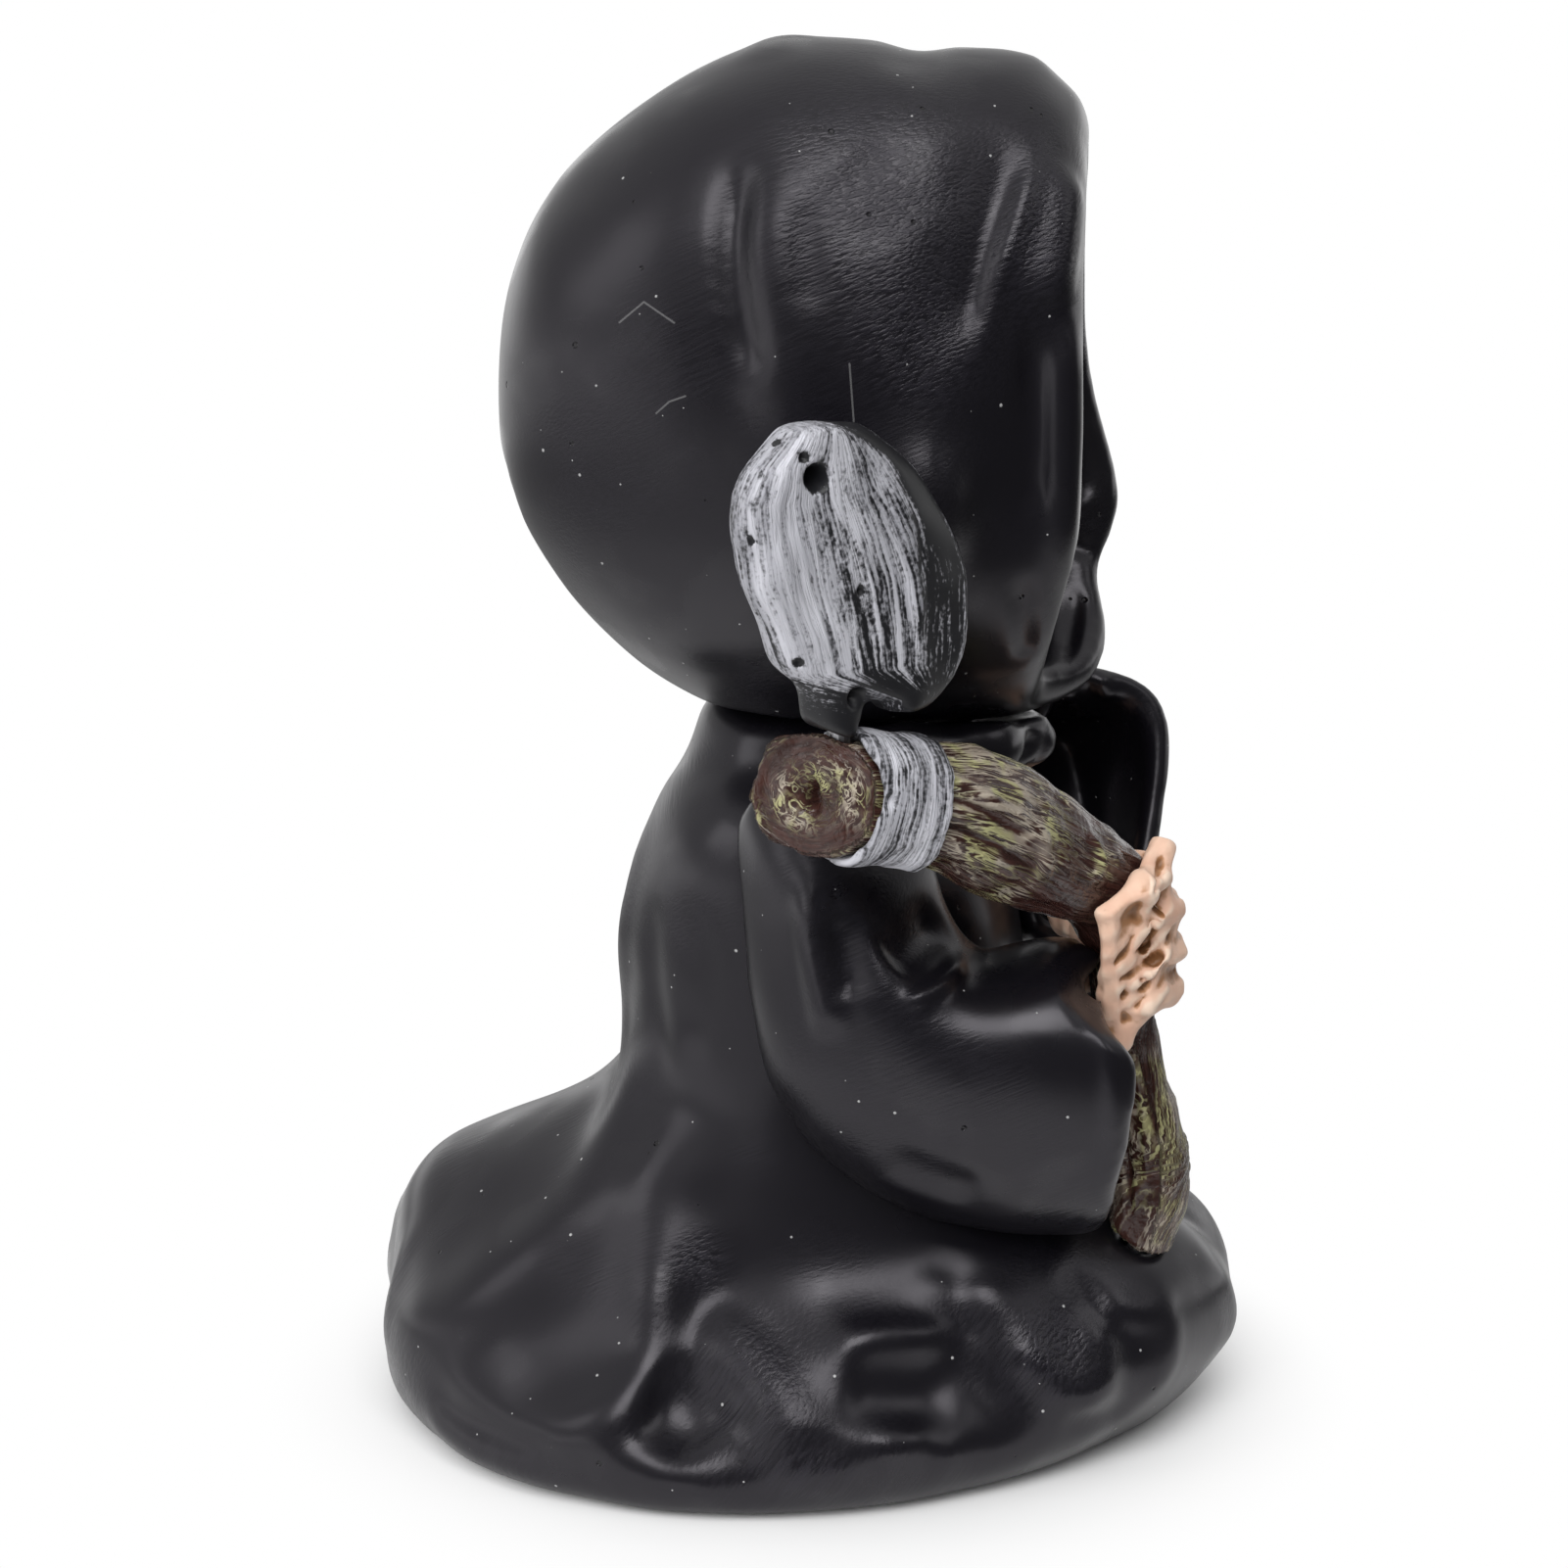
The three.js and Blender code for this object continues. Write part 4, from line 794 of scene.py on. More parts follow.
HOOD_STROKES = {
    "right": [
        ([(3.0, 92.6), (3.4, 89.5), (3.5, 86.7), (3.2, 83.6), (2.4, 80.0), (1.6, 77.4)], 1.8, -0.8),
        ([(1.5, 91.6), (1.6, 87.5), (1.4, 84.0), (0.9, 80.8), (0.2, 77.6), (-0.3, 75.4)], 3.4, 0.2),
        ([(-1.2, 90.0), (-1.4, 86.0), (-1.8, 82.0)], 1.8, -0.25),
        ([(-3.4, 92.6), (-6.2, 90.4), (-8.7, 87.0)], 5.5, -0.25),
        ([(-15.2, 93.4), (-14.0, 89.8), (-13.1, 86.7), (-12.4, 83.4), (-11.6, 80.2)], 1.7, -0.6),
        ([(-16.6, 93.8), (-15.6, 89.6), (-14.5, 86.4), (-13.6, 83.4), (-12.2, 76.0)], 0.9, 0.3),
        ([(-18.6, 92.0), (-18.4, 88.4), (-17.9, 85.0), (-16.9, 81.6)], 2.6, 0.9),
        ([(-16.6, 82.0), (-16.7, 77.0), (-16.6, 72.0), (-16.4, 67.0)], 2.0, -0.9),
        ([(-18.6, 83.0), (-18.8, 78.0), (-18.8, 73.0), (-18.6, 68.0), (-17.9, 62.0)], 2.0, 0.7),
        ([(-15.9, 64.6), (-16.2, 60.2), (-16.5, 57.4)], 1.5, -0.4),
    ],
    "above": [
        ([(-11.0, -7.4), (-4.0, -7.6), (4.0, -7.6), (11.0, -7.4)], 3.2, -0.5),
        ([(-9.0, -17.2), (-3.0, -17.8), (3.0, -17.8), (9.0, -17.2)], 2.4, -0.35),
        ([(-8.0, 3.0), (0.0, 2.0), (8.0, 3.0)], 3.0, 0.25),
    ],
    "left": [
        ([(3.4, 93.4), (4.0, 88.0), (3.2, 82.0), (1.4, 76.0)], 1.2, -0.3),
        ([(1.8, 92.0), (2.0, 87.0), (1.0, 81.0), (-0.8, 74.0)], 1.4, 0.3),
        ([(-13.6, 94.0), (-12.0, 88.0), (-11.4, 81.0), (-12.4, 73.0)], 1.4, -0.3),
        ([(-15.4, 93.4), (-14.0, 87.0), (-13.4, 80.0), (-14.6, 71.0)], 1.2, 0.35),
        ([(-4.6, 70.0), (-3.4, 64.0), (-5.4, 58.4)], 2.4, -0.5),
        ([(8.0, 72.0), (6.4, 66.0), (3.2, 60.0)], 2.6, 0.4),
    ],
    "back": [
        ([(-2.0, 91.0), (-1.2, 84.0), (-2.4, 77.0)], 3.4, -0.35),
        ([(-8.6, 72.0), (-6.6, 66.0), (-3.0, 60.0)], 2.6, -0.4),
        ([(8.8, 74.0), (6.8, 67.0), (3.4, 60.0)], 2.6, -0.4),
        ([(0.6, 70.0), (0.2, 64.0), (0.6, 58.0)], 2.4, 0.35),
    ],
    "inside left": [
        ([(-21.0, 66.4), (-19.4, 65.2), (-17.2, 64.4)], 0.9, 0.6),
        ([(-21.4, 61.4), (-19.6, 62.6), (-17.6, 62.8)], 1.0, -0.7),
        ([(-19.6, 60.0), (-19.2, 57.0), (-18.8, 54.6)], 0.8, -0.5),
    ],
}

RIGHT_SLEEVE_STROKES = {
    "right": [
        ([(-8.2, 35.4), (-11.1, 36.7), (-13.5, 38.1), (-16.8, 38.6), (-19.6, 38.0)], 0.9, 0.7),
        ([(-7.0, 38.4), (-10.4, 39.8), (-13.6, 40.8), (-17.2, 41.0)], 2.6, -0.8),
        ([(-5.0, 35.6), (-4.3, 38.5), (-3.8, 41.6)], 2.2, -0.7),
        ([(-1.7, 45.0), (-2.0, 40.0), (-2.9, 35.6), (-3.6, 32.8)], 1.9, 0.7),
        ([(-6.6, 24.6), (-10.6, 23.0), (-14.4, 21.8)], 2.5, -0.36),
        ([(-21.2, 36.0), (-22.6, 31.0), (-22.6, 25.0), (-22.0, 20.6)], 1.0, 0.35),
    ],
    "front": [
        ([(-20.0, 33.0), (-20.8, 28.0), (-19.6, 22.6)], 1.6, 0.3),
    ],
}

CUFF_CORNER, CUFF_REACH, CUFF_SHIFT = (-18.0, -24.2, 36.6), 6.0, (0.0, 1.9, -1.7)  # worn round
BROWN_PATCH_MIDDLE, BROWN_PATCH_REACH = (-17.0, -17.4, 41.2), (4.0, 3.4, 1.9)  # a brown patch on the sleeve, just below the branch

LEFT_SLEEVE_STROKES = {
    "left": [
        ([(-4.0, 42.0), (-8.0, 41.0), (-13.0, 41.6), (-18.0, 43.0)], 1.9, 0.8),
        ([(-5.4, 38.0), (-10.0, 37.6), (-15.0, 38.6)], 2.2, -0.9),
        ([(-2.0, 45.4), (-5.0, 47.4), (-9.0, 49.4)], 1.8, -0.7),
        ([(-8.6, 46.0), (-13.0, 47.6), (-18.0, 49.6)], 2.4, 0.6),
        ([(-4.0, 33.4), (-9.0, 33.4), (-14.0, 35.0)], 1.9, 0.7),
        ([(0.4, 36.0), (0.6, 41.0), (-0.6, 46.0)], 2.0, -0.5),
    ],
    "right": [
        ([(-18.4, 51.6), (-19.6, 50.0), (-20.6, 47.6)], 1.2, 0.7),
        ([(-21.2, 52.2), (-22.2, 50.0)], 1.0, 0.6),
        ([(-16.4, 51.4), (-17.6, 49.6)], 1.3, 0.6),
    ],
}

COLLAR_STROKES = {
    "front": [
        ([(-6.2, 47.2), (-4.6, 49.2), (-2.8, 51.0)], 1.4, -0.8),
        ([(1.4, 47.0), (2.8, 49.2), (3.4, 51.0)], 1.4, -0.8),
        ([(-2.0, 49.6), (0.4, 49.0)], 2.0, 0.5),
    ],
}

# Brows, cheekbones and the hollows under them, on each side of the face.
SKULL_PAIRS = [
    ([(8.0, 76.4), (5.2, 78.4), (2.0, 77.0)], 1.3, 0.8),
    ([(8.8, 70.6), (6.2, 69.2), (3.6, 69.8)], 1.3, 0.9),
    ([(6.4, 66.8), (5.4, 64.4), (4.6, 62.4)], 1.6, -0.8),
]
SKULL_STROKES = {
    "front": [
        ([(-4.6, 64.9), (0.0, 64.5), (4.6, 64.9)], 0.55, -0.8),
        ([(-3.4, 61.2), (0.0, 60.8), (3.4, 61.2)], 1.6, 0.5),
        ([(-6.0, 84.6), (0.0, 83.4), (6.0, 84.6)], 2.4, -0.3),
    ],
}
# Where the gaps between teeth stand across the face, and the heights they run between.
TOOTH_GAPS = [-3.9, -2.7, -1.6, -0.55, 0.55, 1.6, 2.7, 3.9]
TOOTH_TOP, TOOTH_BITE, TOOTH_FOOT = 66.9, 64.6, 62.6

RIGHT_HAND_STROKES = {
    "right": [
        ([(-24.4, 40.2), (-24.9, 42.1), (-25.4, 43.9)], 0.9, 0.5),
        ([(-24.2, 36.7), (-25.5, 38.5), (-26.7, 40.0)], 0.8, 0.5),
        ([(-23.6, 35.4), (-25.2, 36.2), (-26.8, 38.2)], 0.8, 0.45),
        ([(-24.6, 32.9), (-25.8, 34.2), (-26.4, 35.0)], 0.8, 0.4),
        ([(-25.3, 41.0), (-25.9, 41.5), (-26.5, 41.8)], 1.0, -1.3),
        ([(-25.1, 39.7), (-25.8, 40.4)], 0.75, -0.9),
        ([(-24.9, 36.5), (-25.5, 37.2), (-26.1, 37.9)], 0.65, -1.0),
        ([(-24.8, 35.5), (-24.9, 36.0)], 0.55, -0.8),
        ([(-23.2, 34.6), (-23.7, 35.1)], 0.6, -0.7),
        ([(-25.8, 44.0), (-26.1, 43.4)], 0.6, -0.6),
        ([(-24.4, 37.8), (-25.0, 38.6)], 0.55, -0.8),
        ([(-23.4, 33.8), (-23.7, 32.4)], 0.5, -0.3),
        ([(-23.8, 37.8), (-24.8, 39.0), (-25.6, 40.0)], 0.4, -0.6),
        ([(-24.2, 34.6), (-25.4, 35.6), (-26.5, 37.0)], 0.4, -0.6),
        ([(-24.0, 33.4), (-25.2, 34.7)], 0.4, -0.5),
        ([(-22.6, 37.0), (-23.5, 38.4), (-24.0, 40.0)], 0.4, -0.5),
        ([(-23.0, 36.0), (-24.2, 36.4)], 0.4, -0.4),
        ([(-25.4, 42.6), (-25.9, 44.8)], 0.4, -0.4),
    ],
}

HAND_CORNER, HAND_REACH, HAND_SHIFT = (-13.2, -21.0, 39.6), 4.8, (0.0, -1.7, -0.3)  # drawn in

NECK_MIDDLE, NECK_REACH = (-28.6, -1.6, 61.0), 7.0  # where the blade runs into its neck
BLADE_PITS = [
    ((-3.1, 72.8), 1.1, -2.0),
    ((-2.3, 74.2), 0.45, -0.6),
    ((-0.4, 75.1), 0.35, -0.6),
    ((-5.8, 65.3), 0.35, -0.6),
    ((-5.5, 58.2), 0.9, -1.2),
    ((-1.9, 60.8), 0.4, -0.4),
    ((1.0, 69.0), 0.3, -0.3),
]
# Each row is a height over the sawn end, then the back, the ridge and the edge along the branch.
BLADE_ROWS = [
    (5.0, 5.2, 6.8, 8.6),
    (6.1, 4.2, 6.9, 10.2),
    (8.3, -2.9, 6.9, 11.4),
    (11.1, -4.0, 7.0, 11.9),
    (14.3, -5.4, 7.1, 11.8),
    (17.1, -5.9, 6.8, 10.4),
    (19.7, -6.1, 6.0, 8.6),
    (22.1, -5.0, 4.6, 6.4),
    (24.4, -2.4, 1.0, 3.0),
]
BLADE_HEADING = (0.612, -0.79)  # along the branch under the blade, seen from above
BAND_AXIS = [(-27.0, -4.4, 51.3), (-23.4, -9.2, 50.2)]  # along the branch, through the ferrule
BLADE_STROKES = {
    "right": [
        ([(-6.3, 75.0), (-8.2, 70.4), (-9.2, 65.2), (-9.4, 60.4)], 0.9, 0.25),
        ([(-1.0, 72.0), (-2.4, 66.0), (-3.4, 60.0)], 1.2, -0.2),
        ([(-3.8, 73.0), (-5.0, 66.0), (-5.6, 60.0)], 1.0, 0.2),
    ],
}

# The middle of the branch, from the sawn knob to its foot.
BRANCH_LINE = [
    (-30.8, 1.2, 52.2),
    (-26.6, -4.9, 51.2),
    (-21.4, -11.8, 49.3),
    (-15.6, -18.8, 44.4),
    (-12.8, -21.6, 42.2),
    (-10.8, -22.8, 38.6),
    (-9.6, -23.2, 34.8),
    (-8.7, -23.6, 31.0),
    (-8.1, -24.6, 26.4),
    (-8.0, -25.5, 21.0),
    (-8.5, -25.3, 16.8),
    (-9.2, -24.3, 12.6),
]
# Each kind of ridge: how closely they stand round the branch, how fast they change along it, and
# where in the noise they start.
BROAD_RIDGES = (2.6, 0.13, 4)
NARROW_RIDGES = (6.2, 0.2, 9)
RIDGE_HEIGHT = 0.24
GRAIN_STRETCH = 0.07  # how short the grain is along the branch, as a share of what it is round it
GRIP_ALONG, GRIP_REACH = 33.0, 7.0  # where the hand holds it, bare of dry brushing
BRUSHED_EVERYWHERE, BARE_BY_HAND = 0.3, 0.45
# Where dry brushing lies on the branch: a place on its right side, its reach and how much of it.
BRUSHED_PLACES = [
    ((-15.0, 49.4), 2.8, 0.7),
    ((-10.6, 52.0), 3.2, 0.75),
    ((-13.0, 52.6), 2.2, 0.7),
    ((-17.6, 47.6), 1.6, 0.3),
    ((-21.4, 44.6), 1.2, 0.5),
    ((-24.8, 20.0), 4.6, 0.3),
    ((-25.4, 15.6), 2.4, 0.3),
]
# The middle of the knob's sawn face and the way it looks.
SAWN_MIDDLE = Vector((-28.0, -2.8, 51.5))
SAWN_FACING = Vector((-0.906, 0.4, 0.15)).normalized()
BRANCH_STROKES = {
    "right": [
        ([(-9.0, 53.4), (-12.6, 51.8), (-16.0, 49.4), (-19.6, 46.2)], 0.7, 0.45),
        ([(-8.6, 50.2), (-12.0, 49.0), (-15.6, 46.8), (-18.8, 44.2)], 0.7, -0.5),
        ([(-10.0, 51.8), (-13.6, 50.2), (-17.0, 47.8)], 0.5, -0.4),
        ([(-17.2, 48.6), (-18.0, 46.2), (-17.2, 44.4)], 0.8, 0.5),
        ([(-20.6, 47.4), (-21.6, 45.2), (-21.0, 43.4)], 0.7, 0.5),
        ([(-23.8, 31.5), (-24.6, 27.0), (-25.2, 22.6), (-25.4, 18.6)], 0.5, 0.4),
        ([(-24.6, 30.0), (-25.6, 26.0), (-26.4, 21.4)], 0.5, -0.4),
        ([(-23.6, 24.0), (-24.0, 20.0), (-24.2, 16.6)], 0.5, -0.4),
    ],
    "front": [
        ([(-16.6, 45.8), (-13.8, 43.0), (-11.4, 39.4)], 0.6, -0.4),
        ([(-6.8, 27.0), (-6.4, 22.0), (-7.0, 17.6)], 0.5, 0.4),
    ],
}


def sculpt(clay, strokes, depth=1.0):
    """Works all the strokes of a piece, one view after another."""
    for view, drawn in strokes.items():
        for path, width, height in drawn:
            clay.stroke(view, path, width, height * depth)


def show_brushing(clay, places):
    """Keeps where brush strokes show, on the right side of a piece."""
    right = clay.points[:, 0] < -4
    shares = [
        np.exp(-(((clay.points[:, 1] - y) / wide) ** 2) - ((clay.points[:, 2] - z) / high) ** 2)
        for (y, z), (wide, high) in places
    ]
    clay.mark("brushed", np.where(right, np.clip(sum(shares) * 1.2, 0, 1), 0))


class FIGURINE_OT_robe(Operator):
    """Sculpts the robe with its puddled hem"""

    bl_idname = "figurine.robe"
    bl_label = "Robe"

    def execute(self, context):
        sizes = context.scene.reaper_sculpt
        clay = Clay(casting("robe_body", "robe", "black_paint", sizes.robe_grain))
        clay.relax(34, keep_edges=0.12)
        sculpt(clay, ROBE_STROKES, sizes.fold_depth)
        clay.ripple(9.0, sizes.unevenness * 1.4, seed=1)
        clay.ripple(3.6, sizes.unevenness * 0.5, seed=2)
        clay.relax(14)
        clay.points[:, 2] += NAPE_LIFT * clay.near(NAPE, NAPE_REACH)
        clay.points[:, 2] = np.maximum(clay.points[:, 2], 0.0)
        show_brushing(clay, ROBE_BRUSHED)
        clay.finish()
        return {"FINISHED"}


class FIGURINE_OT_hood(Operator):
    """Sculpts the hood with its pleats and rim"""

    bl_idname = "figurine.hood"
    bl_label = "Hood"

    def execute(self, context):
        sizes = context.scene.reaper_sculpt
        clay = Clay(casting("hood", "hood_shell", "black_paint", sizes.robe_grain))
        clay.relax(34, keep_edges=0.12)
        clay.relax(90, where=clay.near(PLEAT_MIDDLE, PLEAT_REACH))
        sculpt(clay, HOOD_STROKES, sizes.fold_depth)
        clay.ripple(11.0, sizes.unevenness * 1.2, seed=3)
        clay.ripple(4.0, sizes.unevenness * 0.35, seed=4)
        clay.relax(5, keep_edges=0.3)
        clay.relax(120, where=clay.near(BOSS_MIDDLE, BOSS_REACH))
        clay.relax(30, where=clay.near(BROW_MIDDLE, BROW_REACH))
        show_brushing(clay, HOOD_BRUSHED)
        clay.finish()
        return {"FINISHED"}


class FIGURINE_OT_collar(Operator):
    """Sculpts the rolled collar under the chin"""

    bl_idname = "figurine.collar"
    bl_label = "Collar"

    def execute(self, context):
        sizes = context.scene.reaper_sculpt
        clay = Clay(casting("cowl_collar", "collar_roll", "black_paint", sizes.limb_grain))
        clay.relax(16, keep_edges=0.4)
        sculpt(clay, COLLAR_STROKES, sizes.fold_depth)
        clay.ripple(3.0, sizes.unevenness, seed=5)
        clay.relax(4)
        clay.finish()
        return {"FINISHED"}


class FIGURINE_OT_sleeves(Operator):
    """Sculpts both bell sleeves"""

    bl_idname = "figurine.sleeves"
    bl_label = "Sleeves"

    def execute(self, context):
        sizes = context.scene.reaper_sculpt
        for node, name, strokes, seed in (
            ("right_sleeve", "right_bell_sleeve", RIGHT_SLEEVE_STROKES, 6),
            ("left_sleeve", "left_bell_sleeve", LEFT_SLEEVE_STROKES, 7),
        ):
            clay = Clay(casting(node, name, "black_paint", sizes.limb_grain))
            clay.relax(40, keep_edges=0.14)
            sculpt(clay, strokes, sizes.fold_depth)
            clay.ripple(7.0, sizes.unevenness, seed)
            clay.relax(5, keep_edges=0.3)
            if node == "right_sleeve":
                corner = clay.near(CUFF_CORNER, CUFF_REACH)
                clay.points += corner[:, None] * np.array(CUFF_SHIFT)
                clay.relax(30, where=corner)
                # A brown patch on the sleeve just below the branch.
                away = (clay.points - np.array(BROWN_PATCH_MIDDLE)) / np.array(BROWN_PATCH_REACH)
                clay.mark("stain", np.exp(-(away**2).sum(1)))
            clay.finish()
        return {"FINISHED"}


class FIGURINE_OT_skull(Operator):
    """Carves the skull inside the hood"""

    bl_idname = "figurine.skull"
    bl_label = "Skull"

    def execute(self, context):
        sizes = context.scene.reaper_sculpt
        clay = Clay(casting("skull", "skull_face", "bone_paint", sizes.small_grain * 1.3))
        clay.relax(14, keep_edges=0.5)
        for path, width, height in SKULL_PAIRS:
            for side in (-1, 1):
                clay.stroke("front", [(x * side, z) for x, z in path], width, height)
        sculpt(clay, SKULL_STROKES)
        for x in TOOTH_GAPS:
            clay.stroke("front", [(x, TOOTH_TOP), (x * 1.03, TOOTH_BITE)], 0.45, -0.5, fade=0.1)
            clay.stroke("front", [(x, TOOTH_BITE - 0.4), (x * 0.97, TOOTH_FOOT)], 0.42, -0.45, fade=0.1)
        clay.ripple(2.4, sizes.unevenness * 0.6, seed=8)
        clay.relax(2)
        clay.recess(100, 0.55)
        clay.finish()
        return {"FINISHED"}


class FIGURINE_OT_hands(Operator):
    """Sculpts the bone hands"""

    bl_idname = "figurine.hands"
    bl_label = "Hands"

    def execute(self, context):
        sizes = context.scene.reaper_sculpt
        for node, name, strokes, seed in (
            ("right_hand", "right_bone_hand", RIGHT_HAND_STROKES, 9),
            ("left_hand", "left_bone_hand", {}, 10),
        ):
            clay = Clay(casting(node, name, "bone_paint", sizes.small_grain, sizes.finger_web))
            clay.relax(12, keep_edges=0.6)
            sculpt(clay, strokes)
            if node == "right_hand":
                corner = clay.near(HAND_CORNER, HAND_REACH)
                clay.points += corner[:, None] * np.array(HAND_SHIFT)
            clay.ripple(1.3, sizes.unevenness * 1.6, seed)
            clay.relax(2)
            clay.recess(20, 0.2)
            clay.finish()
        return {"FINISHED"}


class FIGURINE_OT_branch(Operator):
    """Carves the grain and the sawn knob of the branch"""

    bl_idname = "figurine.branch"
    bl_label = "Branch"

    def execute(self, context):
        sizes = context.scene.reaper_sculpt
        clay = Clay(casting("scythe_handle", "wooden_branch", "wood_paint", sizes.small_grain * 1.1))
        clay.relax(18, keep_edges=0.3)
        self.carve_grain(clay)
        sculpt(clay, BRANCH_STROKES)
        self.carve_sawn_end(clay)
        clay.ripple(2.2, sizes.unevenness * 1.6, seed=11)
        clay.relax(1)
        clay.recess(30, 0.4)
        clay.finish()
        return {"FINISHED"}

    @staticmethod
    def ridge_at(angle, along, kind):
        """How high a ridge stands at an angle round the branch and a distance along it."""
        crowding, stretch, start = kind
        return noise.noise(
            Vector((math.cos(angle) * crowding, math.sin(angle) * crowding, along * stretch + start))
        )

    def carve_grain(self, clay):
        """Long wandering ridges that follow the branch."""
        line = smooth_line(BRANCH_LINE, steps=10)
        square = ((clay.points[:, None] - line) ** 2).sum(2)
        nearest = square.argmin(1)
        direction = np.gradient(line, axis=0)
        direction /= np.linalg.norm(direction, axis=1, keepdims=True)
        start = np.cumsum(np.r_[0, np.linalg.norm(np.diff(line, axis=0), axis=1)])
        out = clay.points - line[nearest]
        along = start[nearest] + (out * direction[nearest]).sum(1)
        side = np.cross(direction[nearest], (0, 0, 1))
        side /= np.linalg.norm(side, axis=1, keepdims=True)
        lift = np.cross(side, direction[nearest])
        angle = np.arctan2((out * lift).sum(1), (out * side).sum(1))
        ridges = np.array(
            [
                self.ridge_at(a, s, BROAD_RIDGES) + 0.5 * self.ridge_at(a, s, NARROW_RIDGES)
                for a, s in zip(angle.tolist(), along.tolist())
            ]
        )
        face = (clay.normals() @ np.array(SAWN_FACING)) > 0.8
        clay.points += clay.normals() * (ridges * RIDGE_HEIGHT * np.where(face, 0.1, 1))[:, None]
        thick = np.linalg.norm(out - (out * direction[nearest]).sum(1)[:, None] * direction[nearest], axis=1)
        round_it = np.where(face, 0.5, 2.2)
        lengthwise = along * GRAIN_STRETCH + face * thick * 0.4
        clay.lay("grain", np.stack([np.cos(angle) * round_it, np.sin(angle) * round_it, lengthwise], 1))
        by_hand = np.exp(-(((along - GRIP_ALONG) / GRIP_REACH) ** 2))
        cover = BRUSHED_EVERYWHERE - BARE_BY_HAND * by_hand
        for (y, z), reach, share in BRUSHED_PLACES:
            cover += share * np.exp(-((clay.points[:, 1] - y) ** 2 + (clay.points[:, 2] - z) ** 2) / reach**2)
        # On the sawn face, brushing caught an inner ring here and there and the rim all round.
        uneven = 0.6 + 0.4 * np.sin(angle * 2 + 0.6)
        rings = np.exp(-(((thick - 2.0) / 1.0) ** 2)) * uneven + 0.8 * np.exp(-(((thick - 4.8) / 0.7) ** 2))
        clay.mark("cover", np.where(face, 0.22 + 0.6 * rings, cover))

    def carve_sawn_end(self, clay):
        """A raised ring and a dark slot in the sawn face."""
        middle, facing = np.array(SAWN_MIDDLE), np.array(SAWN_FACING)
        offset = clay.points - middle
        depth = offset @ facing
        flat = offset - depth[:, None] * facing
        reach = np.linalg.norm(flat, axis=1)
        on_face = (clay.normals() @ facing > 0.5) & (np.abs(depth) < 1.2)
        rings = 0.16 * np.cos(reach * 2.4 + 0.5) - 0.2 * np.exp(-((reach / 2.6) ** 2))
        slot = -1.5 * np.exp(-((flat[:, 1] - 0.3) / 0.4) ** 2 - ((flat[:, 2] + 0.1) / 0.95) ** 2)
        clay.points += facing * np.where(on_face, rings + slot, 0)[:, None]


class FIGURINE_OT_blade(Operator):
    """Sculpts the thick blade and its ferrule"""

    bl_idname = "figurine.blade"
    bl_label = "Blade and ferrule"

    def execute(self, context):
        sizes = context.scene.reaper_sculpt
        clay = Clay(casting("scythe_blade", "scythe_silver_blade", "silver_paint", sizes.small_grain * 1.1))
        clay.relax(22, keep_edges=0.35)
        sculpt(clay, BLADE_STROKES)
        clay.relax(160, where=clay.near(NECK_MIDDLE, NECK_REACH))
        bare = np.zeros(len(clay.points))
        for place, radius, height in BLADE_PITS:
            bare = np.maximum(bare, clay.near(clay.carry("right", [place])[0, :3], radius * 1.1))
            clay.dab("right", place, radius, height)
        clay.ripple(3.0, sizes.unevenness * 1.2, seed=12)
        clay.relax(1)
        self.lay_silver(clay, bare)
        clay.finish()

        clay = Clay(casting("blade_ferrule", "silver_ferrule", "silver_paint", sizes.small_grain))
        clay.relax(12, keep_edges=0.4)
        clay.ripple(1.6, sizes.unevenness * 1.3, seed=13)
        clay.dab("right", (-7.9, 51.6), 0.7, -0.5)
        clay.relax(1)
        self.lay_band(clay)
        clay.finish()
        return {"FINISHED"}

    def lay_silver(self, clay, bare):
        """Strokes that run up the blade between its back and its edge, thin on the neck, and thin on the
        bevel as painted shade where that side turns from the light.
        """
        offset = clay.points - np.array(SAWN_MIDDLE)
        along = offset[:, 0] * BLADE_HEADING[0] + offset[:, 1] * BLADE_HEADING[1]
        inward = offset[:, 1] * BLADE_HEADING[0] - offset[:, 0] * BLADE_HEADING[1]
        height = offset[:, 2]
        levels, backs, ridges, edges = np.array(BLADE_ROWS).T
        back, ridge, edge = (np.interp(height, levels, line) for line in (backs, ridges, edges))
        share = (along - back) / np.maximum(edge - back, 1.5)
        clay.lay("grain", np.stack([share * 9, inward * 0.6, height * 0.05], 1))
        shaded_bevel = np.clip((along - ridge + 0.6) / 1.2, 0, 1)
        up = np.clip((height - 8) / 13, 0, 1)
        rim = np.clip((share - 0.95) / 0.05, 0, 1)
        neck = np.clip((8.6 - height) / 3.2, 0, 1) * np.clip((8.5 - along) / 3, 0, 1)
        middle = np.exp(-(((share - 0.42) / 0.07) ** 2)) * np.clip(1.1 - up, 0, 1)
        left = np.exp(-(((share - 0.16) / 0.14) ** 2))
        low = np.clip((13.0 - height) / 6, 0, 1)
        # Thin on the bevel and thinner there higher up, which is painted shade on the side that turns from
        # the light;
        # thin on the neck, in the middle and low down; thicker on the very edge and near the back.
        cover = 0.71 - shaded_bevel * (0.26 + 0.36 * up) + 0.38 * rim * shaded_bevel - 0.5 * neck
        cover += 0.2 * left - 0.26 * middle - 0.14 * low
        clay.mark("cover", cover - 2.0 * bare)

    def lay_band(self, clay):
        """Strokes that run round the ferrule."""
        start, end = (np.array(point) for point in BAND_AXIS)
        axis = (end - start) / np.linalg.norm(end - start)
        offset = clay.points - start
        along = offset @ axis
        side = np.cross(axis, (0, 0, 1))
        lift = np.cross(side, axis)
        clay.lay("grain", np.stack([along * 0.8, (offset @ side) * 0.05, (offset @ lift) * 0.05], 1))
        clay.mark("cover", 0.7 + 0.06 * np.sin(along * 1.9))


